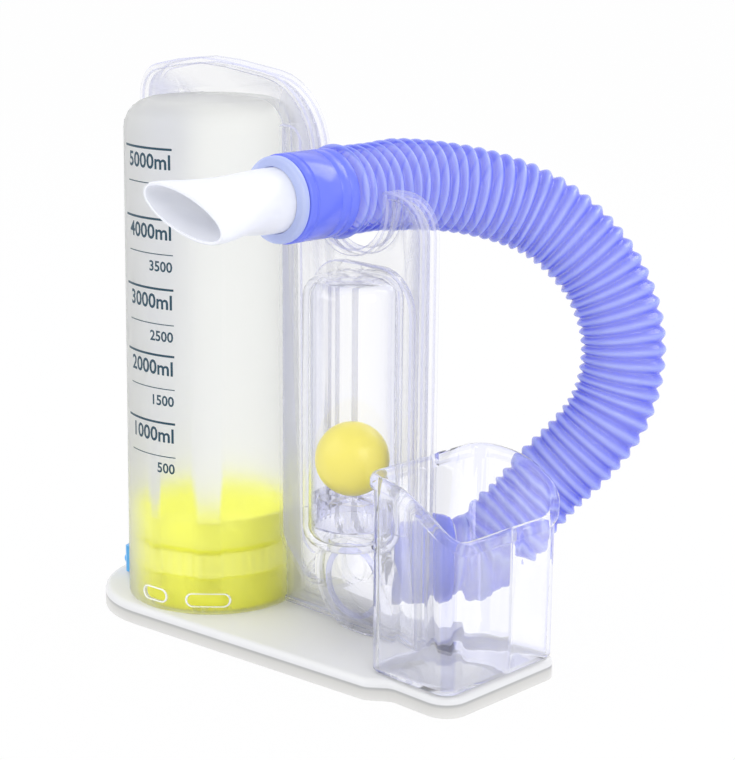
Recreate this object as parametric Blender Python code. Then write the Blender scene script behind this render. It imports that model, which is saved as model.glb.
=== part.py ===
"""Volumetric incentive spirometer, modelled in metres with Z up.

X runs along the upright panel with the cup at the +X end, Y runs to the back and the base
stands on Z = 0. The panel halves meet in the plane Y = 0 and the measuring cylinder's axis
crosses the base at X = 0. A frame empty carries every piece and puts the middle of the
footprint on the world origin.
"""

import math

import bmesh
import bpy
from mathutils import Matrix, Vector

# General
GAP = 0.0003                    # clearance left between two pieces that touch
TURN = math.tau
ROUND_STEP = math.radians(12)   # angle covered by one segment of a rounded corner
FULL_ROUND = 0.999              # share of a half width that a fully rounded end takes
EDGE = 0.0006                   # softened edge of a small moulding
OVER = 0.0010                   # how far a cutter runs past the face it leaves
FAR = 0.2000                    # reach of a cutter that clears the whole part
SLIVER = 0.00005                # keeps a cutter's face off the face beside it

# Colours
CLEAR = (0.92, 0.93, 0.96)
YELLOW = (0.90, 0.90, 0.22)
VIOLET = (0.30, 0.32, 0.90)

# Base moulding
BASE_HEIGHT = 0.0073
BASE_LEFT = -0.0441
BASE_RIGHT = 0.1335
BASE_FRONT = -0.0452
BASE_REAR = 0.0262
BASE_CORNER_R = 0.0063
BASE_STEP_X = 0.1020            # where the front edge starts to step back
BASE_STEP_Y = -0.0359
BASE_NOSE_X = 0.1090            # where the step ends in front of the cup
BASE_NOSE_Y = -0.0305
BASE_NOSE_R = 0.0085
BASE_STEP_R = 0.0060
BASE_LIP_R = 0.0022
BASE_WALL = 0.0022
BASE_TOP = 0.0020
BASE_ARC_STEPS = 28

# Measuring cylinder
AXIS_Y = -0.0102                # axis of the cylinder and of the ball tube
CYL_R = 0.0315
CYL_DRAFT = 0.00135             # how much the barrel narrows from its foot to its shoulder
CYL_WALL = 0.0011
CYL_TOP_Z = 0.1875
DOME_RISE = 0.0110              # height of the barrel's rounded top
CROWN_SHARE = 0.94              # share of the dome's height reached at its rounded edge
SLOT_HEIGHT = 0.0048
SLOT_Z = 0.0127
SLOT_WIDE = 0.0157
SLOT_WIDE_AZ = math.radians(-46.3)
SLOT_NARROW = 0.0110
SLOT_NARROW_AZ = math.radians(-84.6)
SLOT_CUT = 0.0040               # half the length of a slot's cutter
CYL_SEGMENTS = 64

# Piston
PISTON_CLEAR = 0.0003           # play between the piston and the narrow end of the bore
PISTON_WALL = 0.0016
PISTON_RIM_Z = 0.0410
PISTON_CROWN_Z = 0.0305
PISTON_BAND_TOP = 0.0290
PISTON_BAND_Z = 0.0203
PISTON_RIB_DEPTH = 0.0007
PISTON_RIBS = 48
PISTON_BAND_STEP = 0.0010       # how far the band's seat lies inside the crown's wall

# Upright panel
PANEL_HALF = 0.0042
PANEL_RIM = 0.0025              # width of the raised rim
PANEL_RECESS = 0.0010
PANEL_SKIN = 0.0015
PANEL_FOOT_X = -0.0408
PANEL_LEFT = -0.0464
PANEL_RIGHT = 0.0963
PANEL_LEFT_OVER = 0.0065        # height of the arch's left corner above the barrel
PANEL_LEFT_R = 0.0120
PANEL_PEAK_X = -0.0120
PANEL_PEAK_OVER = 0.0132
PANEL_PEAK_R = 0.0800
PANEL_SHOULDER_X = 0.0447
PANEL_SHOULDER_OVER = 0.0067
PANEL_SHOULDER_R = 0.0280
HORN_TOP_Z = 0.1613
HORN_R = 0.0142                 # outer curve of the horn beside the notch
NOTCH_DROP = 0.0199             # hose centre down to the bottom of the notch

# Air path on the front of the panel
DUCT_CLEAR = 0.0008             # room between the barrel and the duct
DUCT_RIGHT = 0.0452
DUCT_HEAD_IN = 0.0015           # how much narrower the duct's head is than its middle
DUCT_HEAD_R = 0.0060
DUCT_CORNER_R = 0.0018
DUCT_BEND_R = 0.0100            # outer bend from the duct's upright run to the plenum
DUCT_THROAT_R = 0.0060          # inner bend of the same turn
DUCT_TOE = 0.0060               # room from the lower bend to the plenum's rim
DUCT_OVERLAP = 0.0080           # how far the duct's blank reaches over the plenum
DUCT_FALL = 0.0020              # slope of the duct's foot over that reach
DUCT_UNDER = 0.0072             # height of the barrel above the duct
DUCT_DEPTH = 0.0043
DUCT_FOOT_Z = 0.0205
DUCT_THROAT_Z = 0.0330
TRAY_WALL = 0.0013
TRAY_EDGE_R = 0.0016
PLENUM_X = 0.0700
PLENUM_Z = 0.0260
PLENUM_R = 0.0200
PLENUM_DEPTH = 0.0035
RING_R = 0.0122
RING_WIDTH = 0.0020
RING_DEPTH = 0.0014
RING_OPEN = math.radians(51)
AIR_HOLE_X = 0.0620
AIR_HOLE_R = 0.0078

# Ball tube
TUBE_X = 0.0705
TUBE_R = 0.0168
TUBE_WALL = 0.0026
TUBE_FOOT_Z = 0.0400
TUBE_TOP_Z = 0.1336
TUBE_FOOT_R = 0.0080
TUBE_BEND = 0.0070              # rounding of the tube's two ends, outside
BALL_R = 0.0127
SEAT_TOP_Z = 0.0575
SEAT_FOOT_Z = 0.0480
SEAT_WALL = 0.0022
SEAT_BAR = 0.0020
SEAT_PLATE = 0.0016             # thickness of the bars
SEAT_EASE = 0.0004              # extra width of the bars at each side
FRAME_LEFT = 0.0460
FRAME_RIGHT = 0.0935
FRAME_FOOT_Z = 0.0482
FRAME_OVER = 0.0034             # height of the frame above the ball tube
FRAME_CORNER_R = 0.0150
FRAME_FOOT_R = 0.0020
FRAME_DEPTH = 0.0025

# Goal marker and its rail
RAIL_AZ = math.radians(198)
RAIL_WIDTH = 0.0040
RAIL_DEPTH = 0.0020
RAIL_UNDER = 0.0025             # length of bare barrel above the rail
MARKER_WIDTH = 0.0080
MARKER_HEIGHT = 0.0100
MARKER_DEPTH = 0.0030
MARKER_Z = 0.0130
MARKER_LEG = 0.0012
MARKER_BEVEL = 0.0010
MARKER_GRIP_R = 0.0022
MARKER_GRIP_DROP = 0.0010       # how far the grip lies below the marker's middle

# Cup
CUP_LEFT = PANEL_RIGHT + GAP
CUP_RIGHT = BASE_RIGHT
CUP_FRONT = BASE_NOSE_Y
CUP_STEP = 0.0010               # width of base left showing behind the cup
CUP_REAR = BASE_REAR - CUP_STEP
CUP_CORNER_R = 0.0065
CUP_WALL = 0.0015
CUP_HIGH = 0.0750
CUP_LOW = 0.0583
CUP_RUN = 0.0436                # length of the rim's fall, round each right-hand corner
CUP_FALL_X = 0.1000
CUP_FRONT_EASE = 1.25
CUP_REAR_EASE = 1.80
LIP_OUT = 0.0015
LIP_TALL = 0.0048
LIP_ROUND = 0.0012
FOOT_ROUND = 0.0012             # rounding of the cup's lower edge
FLUTES = 14
FLUTE_DEPTH = 0.0009
FLUTE_HALF = 0.0026
FLUTE_FOOT_Z = 0.0180
FLUTE_FOOT = 0.45               # share of a flute's width that is left at its foot
CUP_SAMPLES = 104

# Hose, cuffs and mouthpiece
HOSE_R = 0.01465
HOSE_X = 0.0624
HOSE_Z = 0.1604
HOSE_FRONT_Y = -0.0131          # where the hose leaves the upper cuff
LOOP_FRONT_Y = -0.0057          # where the loop begins to swing
HOSE_END_X = 0.0796
HOSE_END_Y = 0.0314
HOSE_END_Z = 0.0296
PORT_ANGLE = math.radians(49.5)  # heading of the port in plan, from the panel's line
LOOP_RIGHT = 0.0515             # furthest the loop swings right of the notch
LOOP_BACK = 0.0870              # furthest it swings back
HOSE_STRAIGHT = 0.0110          # straight run out of the upper cuff
HOSE_LEAD = 0.0090              # straight run into the lower cuff
HOSE_POINTS = 62
UPPER_CUFF_LENGTH = 0.0222
LOWER_CUFF_LENGTH = 0.0215
CUFF_BORE = 0.0112
CUFF_EDGE = 0.0008
SPIGOT_R = 0.0108
SPIGOT_BORE = 0.0076
SPIGOT_LENGTH = 0.0190
ELBOW_LEFT = 0.0500
ELBOW_SIDE = 0.0003
ELBOW_ROUND = 0.0030
ELBOW_EDGE = 0.0012
ELBOW_WALL = 0.0040
ELBOW_BORE = 0.0100             # depth of the bore behind the spigot
NECK_R = 0.0106
NECK_LENGTH = 0.0200            # part of the neck inside the cuff
MOUTH_WALL = 0.0013
MOUTH_TIP_Y = -0.0770
MOUTH_HALF_WIDE = 0.0195
MOUTH_HALF_HIGH = 0.0070
MOUTH_TILT = math.radians(16)
MOUTH_ROOT = 0.0025             # round part of the mouthpiece in front of its collar
MOUTH_SQUARE = 0.12             # how far the mouth end's oval squares up
COLLAR_R = 0.0142
COLLAR_LENGTH = 0.0028
COLLAR_EDGE = 0.0010

# Values several pieces share
FLOOR_Z = BASE_HEIGHT + GAP                 # underside of whatever stands on the base
PANEL_FACE = -PANEL_HALF                    # front face of the panel
NOTCH_R = HOSE_R + 0.00035
NOTCH_Z = HOSE_Z - NOTCH_DROP
CYL_R_TOP = CYL_R - CYL_DRAFT
CYL_SHOULDER_Z = CYL_TOP_Z - DOME_RISE
BORE_R_TOP = CYL_R_TOP - CYL_WALL
PISTON_R = BORE_R_TOP - PISTON_CLEAR
PANEL_LEFT_Z = CYL_TOP_Z + PANEL_LEFT_OVER
PANEL_PEAK_Z = CYL_TOP_Z + PANEL_PEAK_OVER
PANEL_SHOULDER_Z = CYL_TOP_Z + PANEL_SHOULDER_OVER
DUCT_LEFT = CYL_R + DUCT_CLEAR
DUCT_TOP = CYL_TOP_Z - DUCT_UNDER
RAIL_TOP_Z = CYL_SHOULDER_Z - RAIL_UNDER
FRAME_TOP_Z = TUBE_TOP_Z + FRAME_OVER
HOSE_END = Vector((HOSE_END_X, HOSE_END_Y, HOSE_END_Z))
HOSE_HEADING = Vector((math.cos(PORT_ANGLE), math.sin(PORT_ANGLE), 0))
TUBE_BORE = TUBE_R - TUBE_WALL
BALL_Z = SEAT_TOP_Z + GAP + BALL_R
CUFF_FACE_Y = HOSE_FRONT_Y - GAP - UPPER_CUFF_LENGTH
CORD_NODES = {"hose", "lower_cuff", "upper_cuff", "mouthpiece_collar", "mouthpiece"}


def clear_file():
    """Empty the file."""
    for obj in list(bpy.data.objects):
        bpy.data.objects.remove(obj, do_unlink=True)
    for mesh in list(bpy.data.meshes):
        bpy.data.meshes.remove(mesh)


def material(name, colour, roughness, alpha=1.0):
    """A Principled material."""
    mat = bpy.data.materials.new(name)
    mat.use_nodes = True
    shader = mat.node_tree.nodes["Principled BSDF"]
    shader.inputs["Base Color"].default_value = (*colour, 1.0)
    shader.inputs["Roughness"].default_value = roughness
    shader.inputs["Alpha"].default_value = alpha
    return mat


def piece(name, bm, colour, roughness=0.25, alpha=1.0, location=(0, 0, 0), smooth=True):
    """Turn a finished bmesh into a named object on the frame."""
    bmesh.ops.recalc_face_normals(bm, faces=bm.faces)
    mesh = bpy.data.meshes.new(name)
    bm.to_mesh(mesh)
    bm.free()
    for face in mesh.polygons:
        face.use_smooth = smooth
    obj = bpy.data.objects.new(name, mesh)
    bpy.context.scene.collection.objects.link(obj)
    obj.location = location
    obj.parent = FRAME
    mesh.materials.append(material(name, colour, roughness, alpha))
    if smooth:
        mesh.set_sharp_from_angle(angle=math.radians(35))
    return obj


def cutter(name, bm, target, operation="DIFFERENCE"):
    """Cut the shape in the bmesh out of the target, or join it on with UNION."""
    bmesh.ops.recalc_face_normals(bm, faces=bm.faces)
    mesh = bpy.data.meshes.new(name)
    bm.to_mesh(mesh)
    bm.free()
    obj = bpy.data.objects.new(name, mesh)
    bpy.context.scene.collection.objects.link(obj)
    obj.parent = FRAME
    obj.display_type = "WIRE"
    obj.hide_render = True
    cut = target.modifiers.new(name, "BOOLEAN")
    cut.operation = operation
    cut.solver = "EXACT"
    cut.object = obj
    return obj


def reuse_cutter(tool, target):
    """Cut an existing cutter out of one more target."""
    cut = target.modifiers.new(tool.name, "BOOLEAN")
    cut.operation = "DIFFERENCE"
    cut.solver = "EXACT"
    cut.object = tool


def rounded(corners):
    """Points of a closed outline whose corners (a, b, radius) are rounded."""
    points = []
    count = len(corners)
    places = [Vector(corner[:2]) for corner in corners]
    halves = []
    cuts = []                                   # length that each fillet takes off its edges
    for i, (_, _, radius) in enumerate(corners):
        back = places[i - 1] - places[i]
        ahead = places[(i + 1) % count] - places[i]
        halves.append(back.angle(ahead) / 2)
        cuts.append(radius / math.tan(halves[i]))
    for i, (_, _, radius) in enumerate(corners):
        here = places[i]
        if radius <= 0:
            points.append(here)
            continue
        back = places[i - 1] - here
        ahead = places[(i + 1) % count] - here
        room = min(1, back.length / (cuts[i] + cuts[i - 1]),
                   ahead.length / (cuts[i] + cuts[(i + 1) % count]))
        radius *= room                          # a fillet ends where its wall ends
        back.normalize()
        ahead.normalize()
        half = halves[i]
        centre = here + (back + ahead).normalized() * (radius / math.sin(half))
        start = here + back * (radius / math.tan(half)) - centre
        side = back.x * ahead.y - back.y * ahead.x
        sweep = math.copysign(math.pi - 2 * half, -side)
        steps = max(2, math.ceil(abs(sweep) / ROUND_STEP))
        for k in range(steps + 1):
            angle = sweep * k / steps
            points.append(centre + Matrix.Rotation(angle, 2) @ start)
    clean = []
    for point in points:
        if not clean or (point - clean[-1]).length > 1e-5:
            clean.append(point)
    if (clean[0] - clean[-1]).length < 1e-5:
        clean.pop()
    return clean


def inset(points, distance):
    """The outline moved inwards; its points run anticlockwise."""
    moved = []
    count = len(points)
    for i, point in enumerate(points):
        before = (point - points[i - 1]).normalized()
        after = (points[(i + 1) % count] - point).normalized()
        n1 = Vector((-before.y, before.x))
        n2 = Vector((-after.y, after.x))
        moved.append(point + (n1 + n2) * (distance / (1 + n1.dot(n2))))
    return moved


def circle(centre, radius, segments, start=0.0):
    """Points of a circle, anticlockwise."""
    points = []
    for k in range(segments):
        angle = start + TURN * k / segments
        points.append(Vector((centre[0] + radius * math.cos(angle),
                              centre[1] + radius * math.sin(angle))))
    return points


def plan(points, z):
    """Lift outline points into the plane at height z."""
    return [Vector((p.x, p.y, z)) for p in points]


def front(points, y):
    """Set outline points, given as X and Z, into the plane at depth y."""
    return [Vector((p.x, y, p.y)) for p in points]


def loft(bm, rings, caps=True, closed=True, loop=False):
    """Skin rings of equal count; caps close the ends, loop joins the last ring to the first."""
    made = [[bm.verts.new(p) for p in ring] for ring in rings]
    count = len(rings[0])
    sides = count if closed else count - 1
    pairs = list(zip(made, made[1:]))
    if loop:
        pairs.append((made[-1], made[0]))
    for low, high in pairs:
        for k in range(sides):
            nxt = (k + 1) % count
            bm.faces.new((low[k], low[nxt], high[nxt], high[k]))
    if caps and not loop:
        bm.faces.new(list(reversed(made[0])))
        bm.faces.new(made[-1])


def turned(profile, segments, closed=False):
    """Turn a profile of (radius, height) about Z; a zero radius makes a pole."""
    bm = bmesh.new()
    rings = []
    for radius, height in profile:
        if radius <= 0:
            rings.append([bm.verts.new((0, 0, height))])
            continue
        ring = []
        for k in range(segments):
            angle = TURN * k / segments
            ring.append(bm.verts.new((radius * math.cos(angle), radius * math.sin(angle),
                                      height)))
        rings.append(ring)
    pairs = list(zip(rings, rings[1:]))
    if closed:
        pairs.append((rings[-1], rings[0]))
    for low, high in pairs:
        if len(low) == len(high) == 1:
            continue
        for k in range(segments):
            nxt = (k + 1) % segments
            if len(low) == 1:
                bm.faces.new((low[0], high[k], high[nxt]))
            elif len(high) == 1:
                bm.faces.new((low[k], low[nxt], high[0]))
            else:
                bm.faces.new((low[k], low[nxt], high[nxt], high[k]))
    return bm


def arc_profile(centre, radius, start, end, steps):
    """Profile points along an arc, angles in degrees."""
    points = []
    for k in range(steps + 1):
        angle = math.radians(start + (end - start) * k / steps)
        points.append((centre[0] + radius * math.cos(angle),
                       centre[1] + radius * math.sin(angle)))
    return points


def placed(bm, matrix):
    """Move a bmesh by a matrix."""
    bmesh.ops.transform(bm, matrix=matrix, verts=bm.verts)
    return bm


def along(origin, heading):
    """Matrix that takes the Z axis to a level or upright heading from an origin."""
    z_axis = heading.normalized()
    helper = Vector((0, 0, 1)) if abs(z_axis.z) < 0.9 else Vector((0, 1, 0))
    x_axis = helper.cross(z_axis).normalized()
    y_axis = z_axis.cross(x_axis)
    turn = Matrix((x_axis, y_axis, z_axis)).transposed().to_4x4()
    return Matrix.Translation(origin) @ turn


def box(low, high):
    """A box between two corners."""
    bm = bmesh.new()
    corners = [Vector((low[0], low[1])), Vector((high[0], low[1])),
               Vector((high[0], high[1])), Vector((low[0], high[1]))]
    loft(bm, [plan(corners, low[2]), plan(corners, high[2])])
    return bm


def tray(outline, back, depth):
    """A thin shell standing forward of y = back, open at the back, front edge rounded."""
    bm = bmesh.new()
    face = back - depth
    inner = inset(outline, TRAY_WALL)
    rings = [front(inner, face + TRAY_WALL), front(inner, back), front(outline, back)]
    for degrees in (0, 30, 60, 90):
        angle = math.radians(degrees)
        pulled = inset(outline, TRAY_EDGE_R * (1 - math.cos(angle)))
        rings.append(front(pulled, face + TRAY_EDGE_R * (1 - math.sin(angle))))
    loft(bm, rings)
    return bm


def smoothstep(value):
    """Ease from 0 to 1."""
    value = min(1.0, max(0.0, value))
    return value * value * (3 - 2 * value)


def make_base():
    """A shallow moulding with a semicircular left end and a rounded top lip."""
    end_r = (BASE_REAR - BASE_FRONT) / 2
    end_x = BASE_LEFT + end_r
    mid_y = (BASE_REAR + BASE_FRONT) / 2
    slope = math.atan2(BASE_STEP_Y - BASE_FRONT, BASE_STEP_X - end_x)
    outline = []
    first = math.pi / 2
    last = 3 * math.pi / 2 + slope
    for k in range(BASE_ARC_STEPS + 1):
        angle = first + (last - first) * k / BASE_ARC_STEPS
        outline.append(Vector((end_x + end_r * math.cos(angle),
                               mid_y + end_r * math.sin(angle))))
    rest = rounded([(end_x, BASE_FRONT, 0), (BASE_STEP_X, BASE_STEP_Y, BASE_STEP_R),
                    (BASE_NOSE_X, BASE_NOSE_Y, BASE_STEP_R),
                    (BASE_RIGHT, BASE_NOSE_Y, BASE_NOSE_R),
                    (BASE_RIGHT, BASE_REAR, BASE_CORNER_R), (end_x, BASE_REAR, 0)])
    outline += rest[1:-1]
    inner = inset(outline, BASE_WALL)
    rings = [plan(inner, BASE_HEIGHT - BASE_TOP), plan(inner, 0), plan(outline, 0)]
    for degrees in (0, 30, 60, 90):
        angle = math.radians(degrees)
        pulled = inset(outline, BASE_LIP_R * (1 - math.cos(angle)))
        rings.append(plan(pulled, BASE_HEIGHT - BASE_LIP_R * (1 - math.sin(angle))))
    bm = bmesh.new()
    loft(bm, rings)
    return piece("base", bm, (0.86, 0.85, 0.82), 0.3)


def cylinder_profile(radius, top_radius, foot, shoulder, crown):
    """Profile of a tapered wall with a domed top, foot first and crown last."""
    drop = crown - shoulder
    points = [(radius, foot), (top_radius, shoulder)]
    flat = top_radius - drop
    for degrees in (15, 30, 45, 60, 75, 90):
        angle = math.radians(degrees)
        points.append((flat + drop * math.cos(angle),
                       shoulder + drop * math.sin(angle) * CROWN_SHARE))
    points.append((0, crown))
    return points


def make_cylinder():
    """Frosted cylinder with its domed top, thin wall and two air slots."""
    outer = cylinder_profile(CYL_R, CYL_R_TOP, FLOOR_Z, CYL_SHOULDER_Z, CYL_TOP_Z)
    inner = cylinder_profile(CYL_R - CYL_WALL, BORE_R_TOP, FLOOR_Z, CYL_SHOULDER_Z,
                             CYL_TOP_Z - CYL_WALL)
    bm = turned(outer + inner[::-1], CYL_SEGMENTS, closed=True)
    obj = piece("volume_cylinder", bm, (0.93, 0.94, 0.93), 0.45, 0.5, (0, AXIS_Y, 0))
    for name, width, azimuth in (("slot_wide", SLOT_WIDE, SLOT_WIDE_AZ),
                                 ("slot_narrow", SLOT_NARROW, SLOT_NARROW_AZ)):
        half_w = width / 2
        half_h = SLOT_HEIGHT / 2
        end_r = half_h * FULL_ROUND
        outline = rounded([(-half_w, -half_h, end_r), (half_w, -half_h, end_r),
                           (half_w, half_h, end_r), (-half_w, half_h, end_r)])
        slot = bmesh.new()
        loft(slot, [front(outline, -CYL_R - SLOT_CUT), front(outline, -CYL_R + SLOT_CUT)])
        turn = Matrix.Translation((0, AXIS_Y, SLOT_Z)) @ Matrix.Rotation(
            azimuth + math.pi / 2, 4, "Z")
        cutter(name, placed(slot, turn), obj)
    return obj


def make_piston():
    """Piston in three pieces: open-topped crown, ribbed band and lower skirt."""
    inner = PISTON_R - PISTON_WALL
    at = (0, AXIS_Y, 0)
    crown = [(0, PISTON_CROWN_Z), (PISTON_R - EDGE, PISTON_CROWN_Z),
             (PISTON_R, PISTON_CROWN_Z + EDGE), (PISTON_R, PISTON_RIM_Z - EDGE),
             (PISTON_R - EDGE, PISTON_RIM_Z), (inner + EDGE, PISTON_RIM_Z),
             (inner, PISTON_RIM_Z - EDGE), (inner, PISTON_CROWN_Z + PISTON_WALL + EDGE),
             (inner - EDGE, PISTON_CROWN_Z + PISTON_WALL), (0, PISTON_CROWN_Z + PISTON_WALL)]
    piece("piston_crown", turned(crown, CYL_SEGMENTS), YELLOW, 0.35, 1.0, at)

    post_top = PISTON_CROWN_Z - GAP
    band_in = inner - PISTON_BAND_STEP
    shelf = PISTON_BAND_Z - GAP
    skirt = [(0, post_top), (PISTON_R - EDGE, post_top), (PISTON_R, post_top - EDGE),
             (PISTON_R, PISTON_BAND_TOP + GAP), (band_in, PISTON_BAND_TOP + GAP),
             (band_in, shelf), (PISTON_R - EDGE, shelf), (PISTON_R, shelf - EDGE),
             (PISTON_R, FLOOR_Z + EDGE), (PISTON_R - EDGE, FLOOR_Z),
             (band_in - PISTON_WALL, FLOOR_Z),
             (band_in - PISTON_WALL, post_top - PISTON_WALL), (0, post_top - PISTON_WALL)]
    piece("piston_skirt", turned(skirt, CYL_SEGMENTS), YELLOW, 0.35, 1.0, at)

    bm = bmesh.new()
    rings = []
    teeth = PISTON_RIBS * 4
    hole = [Vector(((band_in + GAP) * math.cos(TURN * k / teeth),
                    (band_in + GAP) * math.sin(TURN * k / teeth))) for k in range(teeth)]
    gear = []
    for k in range(teeth):
        radius = PISTON_R if k % 4 < 2 else PISTON_R - PISTON_RIB_DEPTH
        angle = TURN * (k + (0.25 if k % 2 else -0.25)) / teeth
        gear.append(Vector((radius * math.cos(angle), radius * math.sin(angle))))
    for outline, z in ((hole, PISTON_BAND_Z), (gear, PISTON_BAND_Z), (gear, PISTON_BAND_TOP),
                       (hole, PISTON_BAND_TOP)):
        rings.append(plan(outline, z))
    loft(bm, rings, loop=True)
    piece("piston_rib_band", bm, YELLOW, 0.35, 1.0, at, smooth=False)


def panel_outline():
    """Outline of the upright panel in X and Z, anticlockwise, with its notch and horn."""
    left = HOSE_X - NOTCH_R
    right = HOSE_X + NOTCH_R
    notch_corner = NOTCH_R * FULL_ROUND
    return rounded([
        (PANEL_FOOT_X, FLOOR_Z, 0), (PANEL_RIGHT, FLOOR_Z, 0),
        (PANEL_RIGHT, HORN_TOP_Z, HORN_R), (right, HORN_TOP_Z, 0),
        (right, NOTCH_Z, notch_corner), (left, NOTCH_Z, notch_corner),
        (PANEL_SHOULDER_X, PANEL_SHOULDER_Z, PANEL_SHOULDER_R),
        (PANEL_PEAK_X, PANEL_PEAK_Z, PANEL_PEAK_R),
        (PANEL_LEFT, PANEL_LEFT_Z, PANEL_LEFT_R)])


def panel_half(name, side):
    """One half of the panel; side is -1 for the front and 1 for the rear."""
    outline = panel_outline()
    field = inset(outline, PANEL_RIM)
    inner = side * GAP / 2
    outer = side * PANEL_HALF
    rings = [front(field, outer - side * (PANEL_RECESS + PANEL_SKIN)), front(field, inner),
             front(outline, inner), front(outline, outer - side * EDGE),
             front(inset(outline, EDGE), outer), front(inset(outline, PANEL_RIM - EDGE), outer),
             front(field, outer - side * EDGE), front(field, outer - side * PANEL_RECESS)]
    bm = bmesh.new()
    loft(bm, rings)
    return piece(name, bm, CLEAR, 0.12, 0.35)


def make_panel():
    """Both panel halves, cut round the cylinder, the ball tube and the air hole."""
    halves = [panel_half("front_panel", -1), panel_half("rear_panel", 1)]
    bm = turned([(0, 0)] + cylinder_profile(CYL_R + GAP, CYL_R_TOP + GAP, 0,
                                            CYL_SHOULDER_Z, CYL_TOP_Z + GAP), CYL_SEGMENTS)
    barrel = cutter("barrel_cut", placed(bm, Matrix.Translation((0, AXIS_Y, 0))), halves[0])
    tube = cutter("tube_cut", tube_solid(TUBE_R + GAP, GAP), halves[0])
    bm = bmesh.new()
    hole = circle((AIR_HOLE_X, HOSE_END.z), AIR_HOLE_R, 32)
    loft(bm, [front(hole, 2 * PANEL_FACE), front(hole, -2 * PANEL_FACE)])
    air = cutter("air_cut", bm, halves[0])
    for tool in (barrel, tube, air):
        reuse_cutter(tool, halves[1])
    return tube


def tube_solid(radius, grow):
    """Solid of the ball tube's outside, grown by a clearance, in its place."""
    profile = tube_outside(radius, grow)
    bm = turned([(0, profile[0][1])] + profile, 48)
    return placed(bm, Matrix.Translation((TUBE_X, AXIS_Y, 0)))


def tube_outside(radius, grow):
    """Profile of the tube's outside from the foot to the pole at the top."""
    foot = TUBE_FOOT_Z - grow
    top = TUBE_TOP_Z + grow
    profile = [(TUBE_FOOT_R, foot)]
    profile += arc_profile((radius - TUBE_BEND, foot + TUBE_BEND), TUBE_BEND, -90, 0, 4)
    profile += arc_profile((radius - TUBE_BEND, top - TUBE_BEND), TUBE_BEND, 0, 90, 4)
    profile.append((0, top))
    return profile


def make_tube():
    """Clear ball tube, open at the foot, with its seat and the ball."""
    outer = tube_outside(TUBE_R, 0)
    bend = TUBE_BEND - TUBE_WALL
    foot = TUBE_FOOT_Z + TUBE_WALL
    top = TUBE_TOP_Z - TUBE_WALL
    inner = [(0, top)] + arc_profile((TUBE_BORE - bend, top - bend), bend, 90, 0, 4)
    inner += arc_profile((TUBE_BORE - bend, foot + bend), bend, 0, -90, 4)
    inner.append((TUBE_FOOT_R, foot))
    bm = turned(outer + inner, 48, closed=True)
    piece("ball_tube", bm, CLEAR, 0.08, 0.3, (TUBE_X, AXIS_Y, 0))


def make_seat():
    """Ring with two crossing bars on which the ball rests."""
    outer = TUBE_BORE - GAP
    inner = outer - SEAT_WALL
    bm = bmesh.new()
    bars = []
    half = SEAT_BAR / 2
    reach = math.sqrt(inner * inner - half * half)
    quarter = []
    start = math.atan2(half, reach)
    for k in range(7):
        angle = start + (math.pi / 2 - 2 * start) * k / 6
        quarter.append(Vector((inner * math.cos(angle), inner * math.sin(angle))))
    quarter.append(Vector((half, half)))
    for turn in range(4):
        spin = Matrix.Rotation(turn * math.pi / 2, 2)
        bars.append([spin @ p for p in quarter])
    disc = circle((0, 0), outer, 48)
    low = SEAT_TOP_Z - SEAT_PLATE
    loft(bm, [plan(disc, SEAT_FOOT_Z), plan(disc, SEAT_TOP_Z)])
    obj = piece("ball_seat", bm, CLEAR, 0.12, 0.35, (TUBE_X, AXIS_Y, 0))
    well = bmesh.new()
    loft(well, [plan(circle((0, 0), inner, 48), SEAT_FOOT_Z - OVER),
                plan(circle((0, 0), inner, 48), low)])
    place = Matrix.Translation((TUBE_X, AXIS_Y, 0))
    cutter("seat_well", placed(well, place), obj)
    for i, outline in enumerate(bars):
        hole = bmesh.new()
        small = inset(outline, SEAT_EASE)
        loft(hole, [plan(small, low - OVER), plan(small, SEAT_TOP_Z + OVER)])
        cutter("seat_hole_%d" % i, placed(hole, place), obj)


def make_ball():
    """The flow ball."""
    bm = bmesh.new()
    bmesh.ops.create_uvsphere(bm, u_segments=36, v_segments=18, radius=BALL_R)
    piece("flow_ball", bm, (0.95, 0.86, 0.25), 0.3, 1.0, (TUBE_X, AXIS_Y, BALL_Z))


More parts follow.
